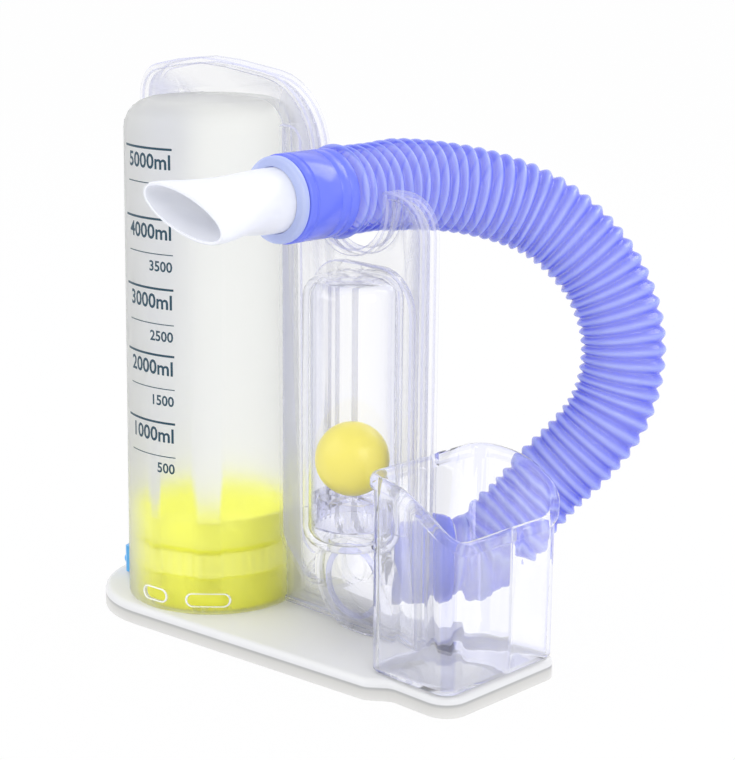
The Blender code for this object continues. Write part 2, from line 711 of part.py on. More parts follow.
def make_front_fittings(tube):
    """Air duct, plenum, ring and the raised frame on the front of the panel."""
    back = PANEL_FACE - GAP
    reach = PLENUM_X - PLENUM_R
    over = reach + DUCT_OVERLAP
    duct = rounded([
        (DUCT_LEFT, DUCT_TOP, DUCT_CORNER_R), (DUCT_LEFT, DUCT_THROAT_Z, DUCT_BEND_R),
        (reach - DUCT_TOE, DUCT_FOOT_Z, DUCT_THROAT_R), (over, DUCT_FOOT_Z - DUCT_FALL, 0),
        (over, DUCT_THROAT_Z - DUCT_FALL, 0), (DUCT_RIGHT, DUCT_THROAT_Z, DUCT_THROAT_R),
        (DUCT_RIGHT - DUCT_HEAD_IN, DUCT_TOP, DUCT_HEAD_R)])
    obj = piece("air_duct", tray(duct, back, DUCT_DEPTH), CLEAR, 0.1, 0.35)
    bm = bmesh.new()
    disc = circle((PLENUM_X, PLENUM_Z), PLENUM_R + GAP, 64)
    loft(bm, [front(disc, back + OVER), front(disc, back - FAR)])
    cutter("duct_end_cut", bm, obj)

    disc = circle((PLENUM_X, PLENUM_Z), PLENUM_R, 64)
    obj = piece("plenum_shell", tray(disc, back, PLENUM_DEPTH), CLEAR, 0.1, 0.35)
    reuse_cutter(tube, obj)
    bm = box((PLENUM_X - FAR, back - FAR, -FAR), (PLENUM_X + FAR, back + FAR, FLOOR_Z))
    cutter("plenum_foot_cut", bm, obj)

    bm = bmesh.new()
    face = back - PLENUM_DEPTH - GAP
    half = RING_WIDTH / 2
    section = [(-half, 0), (half, 0), (half, RING_DEPTH * 0.5), (half * 0.5, RING_DEPTH),
               (-half * 0.5, RING_DEPTH), (-half, RING_DEPTH * 0.5)]
    rings = []
    steps = 40
    for k in range(steps + 1):
        angle = RING_OPEN / 2 + (TURN - RING_OPEN) * k / steps
        ring = []
        for out, forward in section:
            radius = RING_R + out
            ring.append(Vector((PLENUM_X + radius * math.cos(angle), face - forward,
                                PLENUM_Z + radius * math.sin(angle))))
        rings.append(ring)
    loft(bm, rings)
    piece("plenum_ring", bm, CLEAR, 0.1, 0.4)

    outline = rounded([(FRAME_LEFT, FRAME_FOOT_Z, FRAME_FOOT_R),
                       (FRAME_RIGHT, FRAME_FOOT_Z, FRAME_FOOT_R),
                       (FRAME_RIGHT, FRAME_TOP_Z, FRAME_CORNER_R),
                       (FRAME_LEFT, FRAME_TOP_Z, FRAME_CORNER_R)])
    bm = bmesh.new()
    loft(bm, [front(outline, back), front(outline, back - FRAME_DEPTH + EDGE),
              front(inset(outline, EDGE), back - FRAME_DEPTH)])
    obj = piece("chamber_frame", bm, CLEAR, 0.1, 0.35)
    reuse_cutter(tube, obj)


def rail_point(radius, side, z):
    """World point at a radius from the cylinder's axis, beside the rail's middle line."""
    out = Vector((math.cos(RAIL_AZ), math.sin(RAIL_AZ), 0))
    across = Vector((-out.y, out.x, 0))
    return Vector((0, AXIS_Y, z)) + out * radius + across * side


def make_marker():
    """Vertical rail beside the scale and the marker that slides on it."""
    rail_face = CYL_R + GAP + RAIL_DEPTH
    half = RAIL_WIDTH / 2
    taper = (CYL_R - CYL_R_TOP) / (CYL_SHOULDER_Z - FLOOR_Z)
    bm = bmesh.new()
    rings = []
    for z in (FLOOR_Z, RAIL_TOP_Z):
        inner = CYL_R + GAP - taper * (z - FLOOR_Z)
        rings.append([rail_point(inner, -half, z), rail_point(rail_face, -half, z),
                      rail_point(rail_face, half, z), rail_point(inner, half, z)])
    loft(bm, rings)
    piece("marker_rail", bm, CLEAR, 0.2, 0.45, smooth=False)

    low = MARKER_Z - MARKER_HEIGHT / 2
    high = MARKER_Z + MARKER_HEIGHT / 2
    wide = MARKER_WIDTH / 2
    slot = half + GAP
    root = rail_face + GAP
    face = root + MARKER_DEPTH
    leg = root - MARKER_LEG
    section = [(leg, -wide), (face - MARKER_BEVEL, -wide), (face, -wide + MARKER_BEVEL),
               (face, wide - MARKER_BEVEL), (face - MARKER_BEVEL, wide), (leg, wide),
               (leg, slot), (root, slot), (root, -slot), (leg, -slot)]
    bm = bmesh.new()
    centre = rail_point(rail_face, 0, MARKER_Z)
    loft(bm, [[rail_point(r, s, z) - centre for r, s in section] for z in (low, high)])
    obj = piece("goal_marker", bm, (0.20, 0.60, 0.95), 0.3, 1.0, centre, smooth=False)
    bm = bmesh.new()
    bmesh.ops.create_uvsphere(bm, u_segments=16, v_segments=10, radius=MARKER_GRIP_R)
    grip = Matrix.Translation(rail_point(face, 0, MARKER_Z - MARKER_GRIP_DROP))
    cutter("marker_grip", placed(bm, grip), obj, "UNION")


def cup_path():
    """Evenly spaced points round the cup, anticlockwise, starting on the parting plane."""
    corner = CUP_CORNER_R
    coarse = rounded([(CUP_LEFT, CUP_FRONT, corner), (CUP_RIGHT, CUP_FRONT, corner),
                      (CUP_RIGHT, CUP_REAR, corner), (CUP_LEFT, CUP_REAR, corner)])
    coarse.append(coarse[0])
    lengths = [0.0]
    for a, b in zip(coarse, coarse[1:]):
        lengths.append(lengths[-1] + (b - a).length)
    total = lengths[-1]
    points = []
    segment = 0
    for k in range(CUP_SAMPLES):
        target = total * k / CUP_SAMPLES
        while lengths[segment + 1] < target:
            segment += 1
        span = lengths[segment + 1] - lengths[segment]
        share = (target - lengths[segment]) / span
        points.append(coarse[segment].lerp(coarse[segment + 1], share))
    return points, total


def rim_height(point):
    """Height of the wavy rim above a point of the cup's outline."""
    middle = (CUP_FRONT + CUP_REAR) / 2
    run = point.x - CUP_FALL_X
    if point.y < middle:
        run += point.y - CUP_FRONT if point.x > CUP_RIGHT - CUP_CORNER_R else 0
        ease = CUP_FRONT_EASE
    else:
        run += CUP_REAR - point.y if point.x > CUP_RIGHT - CUP_CORNER_R else 0
        ease = CUP_REAR_EASE
    share = min(1.0, max(0.0, run / CUP_RUN)) ** ease
    return CUP_HIGH - (CUP_HIGH - CUP_LOW) * smoothstep(share)


def make_cup():
    """Cup with an S-waved, lipped rim and tapered flutes inside, in two halves."""
    path, total = cup_path()
    spacing = total / FLUTES
    floor = FLOOR_Z + CUP_WALL
    heights = [rim_height(p) for p in path]

    def ring(offset, rise):
        moved = inset(path, -offset)
        return [Vector((p.x, p.y, rise(i))) for i, p in enumerate(moved)]

    def fluted(share):
        depths = []
        for i in range(len(path)):
            along_path = (total * i / len(path) + spacing / 2) % spacing
            near = abs(along_path - spacing / 2)
            top = heights[i] - LIP_TALL
            z = floor + (top - floor) * share
            grow = max(0.0, (z - FLUTE_FOOT_Z) / (top - FLUTE_FOOT_Z))
            half = FLUTE_HALF * (FLUTE_FOOT + (1 - FLUTE_FOOT) * grow)
            depths.append(CUP_WALL + FLUTE_DEPTH * grow * max(0.0, 1 - near / half))
        normals = inset(path, 1.0)
        out = []
        for i, p in enumerate(path):
            moved = p + (normals[i] - p) * depths[i]
            z = floor + (heights[i] - LIP_TALL - floor) * share
            out.append(Vector((moved.x, moved.y, z)))
        return out

    rings = [ring(-FOOT_ROUND, lambda i: FLOOR_Z), ring(0, lambda i: FLOOR_Z + FOOT_ROUND),
             ring(0, lambda i: heights[i] - LIP_TALL),
             ring(LIP_OUT * 0.8, lambda i: heights[i] - LIP_TALL + LIP_ROUND / 2),
             ring(LIP_OUT, lambda i: heights[i] - LIP_TALL + LIP_ROUND),
             ring(LIP_OUT, lambda i: heights[i] - LIP_ROUND),
             ring(LIP_OUT * 0.4, lambda i: heights[i]),
             ring(-CUP_WALL * 0.6, lambda i: heights[i]),
             ring(-CUP_WALL, lambda i: heights[i] - LIP_ROUND)]
    rings += [fluted(share) for share in (1.0, 0.72, 0.45, 0.22, 0.0)]
    for name, low, high in (("front_cup", -GAP / 2, FAR), ("rear_cup", -FAR, GAP / 2)):
        bm = bmesh.new()
        loft(bm, rings)
        obj = piece(name, bm, CLEAR, 0.08, 0.3)
        cutter(name + "_split", box((CUP_LEFT - FAR, low, -FAR), (CUP_RIGHT + FAR, high, FAR)),
               obj)
        lip = box((PANEL_RIGHT - FAR, -PANEL_HALF - GAP, -FAR),
                  (CUP_LEFT - SLIVER, PANEL_HALF + GAP, FAR))
        cutter(name + "_lip_gap", lip, obj)


def hose_route():
    """Centre points of the hose from the upper cuff to the lower cuff."""
    start = Vector((HOSE_X, LOOP_FRONT_Y, HOSE_Z))
    fall = HOSE_Z - HOSE_END_Z
    # Shares of the loop's swing right, swing back and fall
    shares = [(0.027, 0.283, 0.002), (0.113, 0.460, 0.015), (0.243, 0.614, 0.037),
              (0.400, 0.753, 0.073), (0.557, 0.843, 0.118), (0.707, 0.911, 0.179),
              (0.847, 0.968, 0.260), (0.955, 0.999, 0.362), (1.002, 1.001, 0.462),
              (0.994, 0.974, 0.567), (0.950, 0.923, 0.649), (0.849, 0.849, 0.729),
              (0.720, 0.761, 0.807), (0.616, 0.676, 0.881), (0.522, 0.589, 0.942)]
    knots = [Vector((HOSE_X, HOSE_FRONT_Y, HOSE_Z)), start,
             start + Vector((0, HOSE_STRAIGHT, 0))]
    for right, back, down in shares:
        knots.append(start + Vector((LOOP_RIGHT * right, LOOP_BACK * back, -fall * down)))
    knots += [HOSE_END + HOSE_HEADING * HOSE_LEAD, HOSE_END]
    return knots


def spline_points(knots, start_heading, end_heading, count):
    """Smooth curve through knots, sampled at even spacing."""
    lengths = [0.0]
    for a, b in zip(knots, knots[1:]):
        lengths.append(lengths[-1] + (b - a).length)
    slopes = []
    for i in range(len(knots)):
        if i == 0:
            slopes.append(start_heading.normalized())
        elif i == len(knots) - 1:
            slopes.append(end_heading.normalized())
        else:
            slopes.append((knots[i + 1] - knots[i - 1]) / (lengths[i + 1] - lengths[i - 1]))
    fine = []
    for i in range(len(knots) - 1):
        span = lengths[i + 1] - lengths[i]
        for k in range(24):
            t = k / 24
            a = (2 * t ** 3 - 3 * t ** 2 + 1)
            b = (t ** 3 - 2 * t ** 2 + t) * span
            c = (-2 * t ** 3 + 3 * t ** 2)
            d = (t ** 3 - t ** 2) * span
            fine.append(knots[i] * a + slopes[i] * b + knots[i + 1] * c + slopes[i + 1] * d)
    fine.append(knots[-1])
    walk = [0.0]
    for a, b in zip(fine, fine[1:]):
        walk.append(walk[-1] + (b - a).length)
    points = []
    segment = 0
    for k in range(count):
        target = walk[-1] * k / (count - 1)
        while segment < len(fine) - 2 and walk[segment + 1] < target:
            segment += 1
        share = (target - walk[segment]) / (walk[segment + 1] - walk[segment])
        points.append(fine[segment].lerp(fine[segment + 1], min(1.0, share)))
    return points


def make_hose():
    """The hose as a plain bent tube."""
    points = spline_points(hose_route(), Vector((0, 1, 0)), -HOSE_HEADING, HOSE_POINTS)
    # The hose meets both cuffs square on
    points[1] = points[0] + Vector((0, (points[1] - points[0]).length, 0))
    points[-2] = HOSE_END + HOSE_HEADING * (points[-2] - HOSE_END).length
    curve = bpy.data.curves.new("hose", "CURVE")
    curve.dimensions = "3D"
    curve.bevel_depth = HOSE_R
    curve.bevel_resolution = 4
    curve.use_fill_caps = True
    spline = curve.splines.new("POLY")
    spline.points.add(len(points) - 1)
    for slot, point in zip(spline.points, points):
        slot.co = (*point, 1.0)
    obj = bpy.data.objects.new("hose", curve)
    bpy.context.scene.collection.objects.link(obj)
    obj.parent = FRAME
    curve.materials.append(material("hose", (0.22, 0.24, 0.85), 0.25))
    return obj


def tube_profile(outer, inner, length, edge=CUFF_EDGE):
    """Closed profile of a plain tube from height 0."""
    return [(inner, 0), (outer - edge, 0), (outer, edge), (outer, length - edge),
            (outer - edge, length), (inner, length)]


def make_lower_end(tube):
    """Elbow on the back of the panel, the spigot and the cuff pushed over it."""
    cuff_foot = HOSE_END - HOSE_HEADING * (GAP + LOWER_CUFF_LENGTH)
    bm = placed(turned(tube_profile(HOSE_R, CUFF_BORE, LOWER_CUFF_LENGTH), 40, closed=True),
                along(cuff_foot, HOSE_HEADING))
    piece("lower_cuff", bm, VIOLET, 0.25)

    face = cuff_foot - HOSE_HEADING * GAP
    spigot_foot = face + HOSE_HEADING * GAP
    bm = placed(turned(tube_profile(SPIGOT_R, SPIGOT_BORE, SPIGOT_LENGTH), 36, closed=True),
                along(spigot_foot, HOSE_HEADING))
    piece("port_spigot", bm, CLEAR, 0.15, 0.4)

    across = Vector((HOSE_HEADING.y, -HOSE_HEADING.x, 0))
    back = PANEL_HALF + GAP
    span = HOSE_R + ELBOW_SIDE
    near = face + across * ((face.y - back) / HOSE_HEADING.x)
    far = face - across * span
    outline = rounded([(ELBOW_LEFT, back, 0), (near.x, back, 0), (far.x, far.y, ELBOW_ROUND),
                       (ELBOW_LEFT, far.y, ELBOW_EDGE)])
    low = HOSE_END.z - span
    high = HOSE_END.z + span
    bm = bmesh.new()
    loft(bm, [plan(outline, low), plan(outline, high)])
    obj = piece("rear_elbow", bm, CLEAR, 0.12, 0.35)
    bore = placed(turned([(0, -ELBOW_BORE), (SPIGOT_BORE, -ELBOW_BORE), (SPIGOT_BORE, OVER),
                          (0, OVER)], 36), along(face, HOSE_HEADING))
    cutter("elbow_bore", bore, obj)
    side = AIR_HOLE_R
    pocket = box((AIR_HOLE_X - side, back - OVER, HOSE_END.z - side),
                 (AIR_HOLE_X + side * 0.6, face.y - ELBOW_WALL, HOSE_END.z + side))
    cutter("elbow_pocket", pocket, obj)
    reuse_cutter(tube, obj)


def make_upper_end():
    """Cuff in the notch, the ring in front of it and the flattened mouthpiece."""
    heading = Vector((0, 1, 0))
    at = Vector((HOSE_X, CUFF_FACE_Y, HOSE_Z))
    bm = placed(turned(tube_profile(HOSE_R, NECK_R + GAP, UPPER_CUFF_LENGTH), 40, closed=True),
                along(at, heading))
    piece("upper_cuff", bm, VIOLET, 0.25)
    collar_at = at - heading * (GAP + COLLAR_LENGTH)
    bm = placed(turned(tube_profile(COLLAR_R, NECK_R + GAP, COLLAR_LENGTH, COLLAR_EDGE), 40,
                       closed=True), along(collar_at, heading))
    piece("mouthpiece_collar", bm, (0.75, 0.78, 0.98), 0.2, 0.6)

    def section(y, half_wide, half_high, tilt, power):
        points = []
        count = 40
        for k in range(count):
            angle = TURN * k / count
            c = math.cos(angle)
            s = math.sin(angle)
            x = half_wide * math.copysign(abs(c) ** power, c)
            z = half_high * math.copysign(abs(s) ** power, s)
            points.append(Vector((HOSE_X - x * math.cos(tilt) - z * math.sin(tilt), y,
                                  HOSE_Z + x * math.sin(tilt) - z * math.cos(tilt))))
        return points

    root = CUFF_FACE_Y + NECK_LENGTH
    flare = CUFF_FACE_Y - COLLAR_LENGTH - MOUTH_ROOT
    outer = [(root, 0.0), (flare, 0.0)]
    steps = 7
    for k in range(1, steps + 1):
        outer.append((flare + (MOUTH_TIP_Y - flare) * k / steps, k / steps))
    rings = []
    for wall, stations in ((0, outer), (MOUTH_WALL, outer[::-1])):
        for y, share in stations:
            ease = smoothstep(share)
            wide = NECK_R + (MOUTH_HALF_WIDE - NECK_R) * ease - wall
            high = NECK_R + (MOUTH_HALF_HIGH - NECK_R) * ease - wall
            rings.append(section(y, wide, high, MOUTH_TILT * ease, 1 - MOUTH_SQUARE * ease))
    bm = bmesh.new()
    loft(bm, rings, loop=True)
    piece("mouthpiece", bm, (0.93, 0.94, 0.97), 0.3, 0.7)


def centre_frame():
    """Put the middle of the footprint of all fixed pieces on the world origin."""
    bpy.context.view_layer.update()
    graph = bpy.context.evaluated_depsgraph_get()
    low = Vector((1e9, 1e9, 1e9))
    high = -low
    for obj in bpy.context.scene.objects:
        if obj.type != "MESH" or obj.hide_render or obj.name in CORD_NODES:
            continue
        solid = obj.evaluated_get(graph)
        for corner in solid.bound_box:
            point = obj.matrix_world @ Vector(corner)
            low = Vector(map(min, low, point))
            high = Vector(map(max, high, point))
    FRAME.location = (-(low.x + high.x) / 2, -(low.y + high.y) / 2, -low.z)
    bpy.context.view_layer.update()
    print("frame shift", tuple(round(v, 6) for v in FRAME.location))


clear_file()
FRAME = bpy.data.objects.new("frame", None)
bpy.context.scene.collection.objects.link(FRAME)
make_base()
make_cylinder()
make_piston()
TUBE_TOOL = make_panel()
make_tube()
make_seat()
make_ball()
make_front_fittings(TUBE_TOOL)
make_marker()
make_cup()
make_hose()
make_lower_end(TUBE_TOOL)
make_upper_end()
centre_frame()
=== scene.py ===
# %% [markdown]
# # Incentive spirometer
# A breathing exerciser from a hospital ward. A breath in through the mouthpiece lifts the
# yellow piston in the frosted cylinder, and the ball floats in its clear tube. The frame that
# loads here gives the exact place of every moulding, so each visible piece is built or dressed
# where its solid already stands.

import math

import bmesh
import bpy
from mathutils import Matrix, Vector


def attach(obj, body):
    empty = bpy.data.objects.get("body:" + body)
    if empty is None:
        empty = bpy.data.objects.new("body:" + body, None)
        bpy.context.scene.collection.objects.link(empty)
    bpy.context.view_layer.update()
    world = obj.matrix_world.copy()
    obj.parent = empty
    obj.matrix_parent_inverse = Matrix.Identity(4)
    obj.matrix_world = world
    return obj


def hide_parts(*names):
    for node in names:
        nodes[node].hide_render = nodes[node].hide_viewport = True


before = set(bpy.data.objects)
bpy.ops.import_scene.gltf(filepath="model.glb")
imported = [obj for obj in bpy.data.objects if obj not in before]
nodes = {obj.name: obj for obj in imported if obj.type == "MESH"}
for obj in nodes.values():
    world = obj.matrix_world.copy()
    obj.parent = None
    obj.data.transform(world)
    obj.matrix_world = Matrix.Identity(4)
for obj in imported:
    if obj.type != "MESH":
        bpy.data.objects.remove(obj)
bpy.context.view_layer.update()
print("solids:", len(nodes))

# %% [markdown]
# ## Camera
# The photograph was taken from the front right and a little above. A camera could be aimed by a
# constraint, but its place and angles were fitted to the edges in the photograph, so they are
# written out and turned into a matrix. The lens is long: it flattens the depth, and the upright
# edges of the panel stay almost parallel.

# %% Camera
SHIFT = Vector((-0.044453, 0.004709, 0.0))     # drawing position to world position
CAMERA_PLACE = Vector((0.517886, -0.465651, 0.254957)) + SHIFT
SENSOR_MM = 36
LENS_MM = 93.04
yaw, pitch, roll = (math.radians(angle) for angle in (44.045, 13.824, 0.456))
look = Vector((-math.sin(yaw) * math.cos(pitch), math.cos(yaw) * math.cos(pitch),
               -math.sin(pitch)))
level = Vector((math.cos(yaw), math.sin(yaw), 0))
upright = level.cross(look)
side = level * math.cos(roll) + upright * math.sin(roll)
rise = upright * math.cos(roll) - level * math.sin(roll)
turn = Matrix((side, rise, -look)).transposed().to_quaternion()
camera_data = bpy.data.cameras.new("camera")
camera_data.sensor_width = SENSOR_MM
camera_data.lens = LENS_MM
camera = bpy.data.objects.new("camera", camera_data)
bpy.context.scene.collection.objects.link(camera)
camera.matrix_world = Matrix.LocRotScale(CAMERA_PLACE, turn, None)
bpy.context.scene.camera = camera
bpy.context.scene.view_settings.view_transform = "Standard"
print("camera: %.0f mm lens, %.1f degrees round and %.1f up"
      % (LENS_MM, math.degrees(yaw), math.degrees(pitch)))

# %% [markdown]
# ## Ends of the hose
# The hose runs between two smooth cuffs. One hangs in the notch at the top of the panel, and
# the other sits on a port behind it, turned outwards. The ends could be read off the solids,
# but a cord's route has to be known before anything is hung on it, so they are given here.

# %% Ends of the hose
HOSE_R = 0.01465
PORT_ANGLE = math.radians(49.5)
HOSE_HEADING = Vector((math.cos(PORT_ANGLE), math.sin(PORT_ANGLE), 0))
HOSE_END = Vector((0.0796, 0.0314, 0.0296)) + SHIFT
HOSE_START = Vector((0.0624, -0.0131, 0.1604)) + SHIFT
LOOP_START = Vector((0.0624, -0.0057, 0.1604)) + SHIFT
FALL = HOSE_START.z - HOSE_END.z
print("the hose falls %.1f mm from its notch to its port" % (FALL * 1000))

# %% [markdown]
# ## Smooth curve
# A hose bends evenly. Blender's own curve object would draw such a line, but the ridges need
# points at even spacing along it. So a smooth curve is run through a few knots, its length is
# walked, and points are picked at equal steps of that walk.

# %% Smooth curve
SPAN_STEPS = 24


def walked(points):
    """Distance walked along a line from its first point to each of its points."""
    lengths = [0.0]
    for a, b in zip(points, points[1:]):
        lengths.append(lengths[-1] + (b - a).length)
    return lengths


def spline_points(knots, start_heading, end_heading, count):
    """Points at even spacing on a smooth curve through the knots, and its length."""
    lengths = walked(knots)
    slopes = [start_heading.normalized()]
    for i in range(1, len(knots) - 1):
        slopes.append((knots[i + 1] - knots[i - 1]) / (lengths[i + 1] - lengths[i - 1]))
    slopes.append(end_heading.normalized())
    fine = []
    for i in range(len(knots) - 1):
        span = lengths[i + 1] - lengths[i]
        for k in range(SPAN_STEPS):
            t = k / SPAN_STEPS
            fine.append(knots[i] * (2 * t ** 3 - 3 * t ** 2 + 1)
                        + slopes[i] * (t ** 3 - 2 * t ** 2 + t) * span
                        + knots[i + 1] * (-2 * t ** 3 + 3 * t ** 2)
                        + slopes[i + 1] * (t ** 3 - t ** 2) * span)
    fine.append(knots[-1])
    walk = walked(fine)
    points = []
    segment = 0
    for k in range(count):
        target = walk[-1] * k / (count - 1)
        while segment < len(fine) - 2 and walk[segment + 1] < target:
            segment += 1
        share = (target - walk[segment]) / (walk[segment + 1] - walk[segment])
        points.append(fine[segment].lerp(fine[segment + 1], min(1.0, share)))
    return points, walk[-1]


ahead = Vector((1, 0, 0))
print("a straight metre measures %.4f m" % spline_points([0 * ahead, ahead], ahead, ahead, 3)[1])

# %% [markdown]
# ## Route of the hose
# The hose leaves the notch backwards, sweeps round in one open loop and comes home to the port
# behind the panel. Knots could be pushed about by eye. Here they were traced in the photograph
# and are kept as shares of the loop's width, depth and fall, so three numbers resize the loop.

# %% Route of the hose
LOOP_RIGHT = 0.0515         # how far the loop swings to the right
LOOP_BACK = 0.0870          # and how far to the back
STRAIGHT_OUT = 0.0110       # straight length behind the notch
STRAIGHT_IN = 0.0090        # and in front of the port
ROUTE_POINTS = 240
LOOP_SHARES = [(0.027, 0.283, 0.002), (0.113, 0.460, 0.015), (0.243, 0.614, 0.037),
               (0.400, 0.753, 0.073), (0.557, 0.843, 0.118), (0.707, 0.911, 0.179),
               (0.847, 0.968, 0.260), (0.955, 0.999, 0.362), (1.002, 1.001, 0.462),
               (0.994, 0.974, 0.567), (0.950, 0.923, 0.649), (0.849, 0.849, 0.729),
               (0.720, 0.761, 0.807), (0.616, 0.676, 0.881), (0.522, 0.589, 0.942)]
knots = [HOSE_START, LOOP_START, LOOP_START + Vector((0, STRAIGHT_OUT, 0))]
for right, back, down in LOOP_SHARES:
    knots.append(LOOP_START + Vector((LOOP_RIGHT * right, LOOP_BACK * back, -FALL * down)))
knots += [HOSE_END + HOSE_HEADING * STRAIGHT_IN, HOSE_END]
hose_line, hose_length = spline_points(knots, Vector((0, 1, 0)), -HOSE_HEADING, ROUTE_POINTS)
print("hose length: %.4f m" % hose_length)

# %% [markdown]
# ## Moulding marks
# Injection-moulded plastic is never perfectly even: it is slowly wavy where it cooled, with a
# fine grain from the mould. Each material could have noise of its own, but one shared group
# keeps all the mouldings alike, and each material sets how much of the grain shows.

# %% Moulding group
WAVE_SCALE = 60.0
GRAIN_SCALE = 900.0
GRAIN_SHARE = 0.2
MIX_FACTOR, MIX_A, MIX_B, MIX_OUT = 0, 2, 3, 0      # number sockets of a Mix node


def set_sockets(node, values):
    """Set some of a node's sockets by name."""
    for socket, value in values.items():
        node.inputs[socket].default_value = value
    return node


marks = bpy.data.node_groups.new("moulding_marks", "ShaderNodeTree")
for socket, default in (("Wave Scale", WAVE_SCALE), ("Grain Scale", GRAIN_SCALE),
                        ("Grain Share", GRAIN_SHARE)):
    made = marks.interface.new_socket(socket, in_out="INPUT", socket_type="NodeSocketFloat")
    made.default_value = default
for socket in ("Height", "Mottle"):
    marks.interface.new_socket(socket, in_out="OUTPUT", socket_type="NodeSocketFloat")
given = marks.nodes.new("NodeGroupInput")
result = marks.nodes.new("NodeGroupOutput")
place = marks.nodes.new("ShaderNodeTexCoord")
slow = set_sockets(marks.nodes.new("ShaderNodeTexNoise"), {"Detail": 2})
grain = set_sockets(marks.nodes.new("ShaderNodeTexNoise"), {"Detail": 3})
both = marks.nodes.new("ShaderNodeMix")
marks.links.new(place.outputs["Object"], slow.inputs["Vector"])
marks.links.new(place.outputs["Object"], grain.inputs["Vector"])
marks.links.new(given.outputs["Wave Scale"], slow.inputs["Scale"])
marks.links.new(given.outputs["Grain Scale"], grain.inputs["Scale"])
marks.links.new(given.outputs["Grain Share"], both.inputs[MIX_FACTOR])
marks.links.new(slow.outputs["Fac"], both.inputs[MIX_A])
marks.links.new(grain.outputs["Fac"], both.inputs[MIX_B])
marks.links.new(both.outputs[MIX_OUT], result.inputs["Height"])
marks.links.new(slow.outputs["Fac"], result.inputs["Mottle"])
print("group:", marks.name, "with", len(marks.nodes), "nodes")

# %% [markdown]
# ## Start of every finish
# Each plastic here is one Principled shader. Its parts could be wired by hand each time, but
# three small helpers do what all finishes share: they bring in the moulding marks as a faint
# bump, vary the colour between two close tones, and paint a faint glow into a thin wall with
# emission, a painted glow that stands in for the light that comes through thin coloured plastic.

# %% Start of a finish
MARK_HEIGHT = 0.0004
TONE_FACTOR, TONE_A, TONE_B, TONE_OUT = 0, 6, 7, 2      # colour sockets of a Mix node


def start_material(name, grain_share=GRAIN_SHARE, bump=0.02):
    """A material with its Principled shader and the moulding group wired to its normal."""
    mat = bpy.data.materials.new(name)
    mat.use_nodes = True
    tree = mat.node_tree
    shader = tree.nodes["Principled BSDF"]
    group = tree.nodes.new("ShaderNodeGroup")
    group.node_tree = marks
    set_sockets(group, {"Wave Scale": WAVE_SCALE, "Grain Scale": GRAIN_SCALE,
                        "Grain Share": grain_share})
    relief = set_sockets(tree.nodes.new("ShaderNodeBump"),
                         {"Strength": bump, "Distance": MARK_HEIGHT})
    tree.links.new(group.outputs["Height"], relief.inputs["Height"])
    tree.links.new(relief.outputs["Normal"], shader.inputs["Normal"])
    return mat, tree, shader, group.outputs["Mottle"]


def two_tone(tree, shader, factor, dark, light):
    """Vary the base colour between two close tones."""
    tone = tree.nodes.new("ShaderNodeMix")
    tone.data_type = "RGBA"
    tone.inputs[TONE_A].default_value = (*dark, 1)
    tone.inputs[TONE_B].default_value = (*light, 1)
    tree.links.new(factor, tone.inputs[TONE_FACTOR])
    tree.links.new(tone.outputs[TONE_OUT], shader.inputs["Base Color"])


def painted_glow(shader, colour, strength):
    """Painted glow: emission that stands in for the soft light that comes out of a thin wall."""
    set_sockets(shader, {"Emission Color": (*colour, 1), "Emission Strength": strength})


print("every finish starts with the marks", MARK_HEIGHT * 1000, "mm high")

# %% [markdown]
# ## Solid colours
# The piston, ball and goal marker are opaque coloured mouldings, and the scale is dark ink. A
# flat colour would look like paint, so each one drifts between two tones. The piston is one
# yellow moulding given three yellows, one for each of its bands as it shows through the frosted
# wall: a paler one as painted light on the rib band and a darker one as painted shade on the
# skirt.

# %% Solid finishes


def solid_plastic(name, dark, light, roughness, glow=0.0):
    """Opaque coloured plastic with a slight mottle."""
    mat, tree, shader, mottle = start_material(name)
    two_tone(tree, shader, mottle, dark, light)
    set_sockets(shader, {"Roughness": roughness})
    # painted glow: emission that stands in for light coming through the plastic
    painted_glow(shader, light, glow)
    return mat


lemon = solid_plastic("lemon_piston", (0.93, 0.94, 0.10), (0.97, 0.98, 0.16), 0.35, glow=0.22)
# painted light: a paler copy of the piston's yellow for its rib band
lemon_painted_light = solid_plastic("lemon_painted_light", (0.91, 0.91, 0.16), (0.95, 0.95, 0.22), 0.30, glow=0.20)
# painted shade: a darker copy of the piston's yellow for its skirt
lemon_painted_shade = solid_plastic("lemon_painted_shade", (0.80, 0.80, 0.06), (0.85, 0.85, 0.09), 0.35, glow=0.17)
yellow = solid_plastic("yellow_ball", (0.96, 0.84, 0.09), (0.98, 0.85, 0.09), 0.3, glow=0.02)
sky = solid_plastic("sky_marker", (0.08, 0.42, 0.90), (0.14, 0.50, 0.95), 0.3)
# painted highlight: the pale colour of the beads on the cut edges of the air slots
rim_highlight_white = solid_plastic("rim_highlight_white", (0.90, 0.91, 0.86), (0.95, 0.96, 0.91), 0.3)
ink = solid_plastic("scale_ink", (0.005, 0.045, 0.075), (0.008, 0.06, 0.095), 0.4)
print("solid finishes:", [mat.name for mat in (lemon, lemon_painted_light, lemon_painted_shade, yellow, sky)])

# %% [markdown]
# ## White base
# The base is one white moulding with a lip over a skirt that looks grey-beige in the shade below
# the lip. It could be cut in two and given two finishes, but it is a single piece of plastic. A
# colour ramp on its height paints that shade: a warm grey skirt that is lighter at its foot, a
# dark painted shadow line under the lip, and the white above it.

# %% Base finish
LIP_TOP = 0.0073
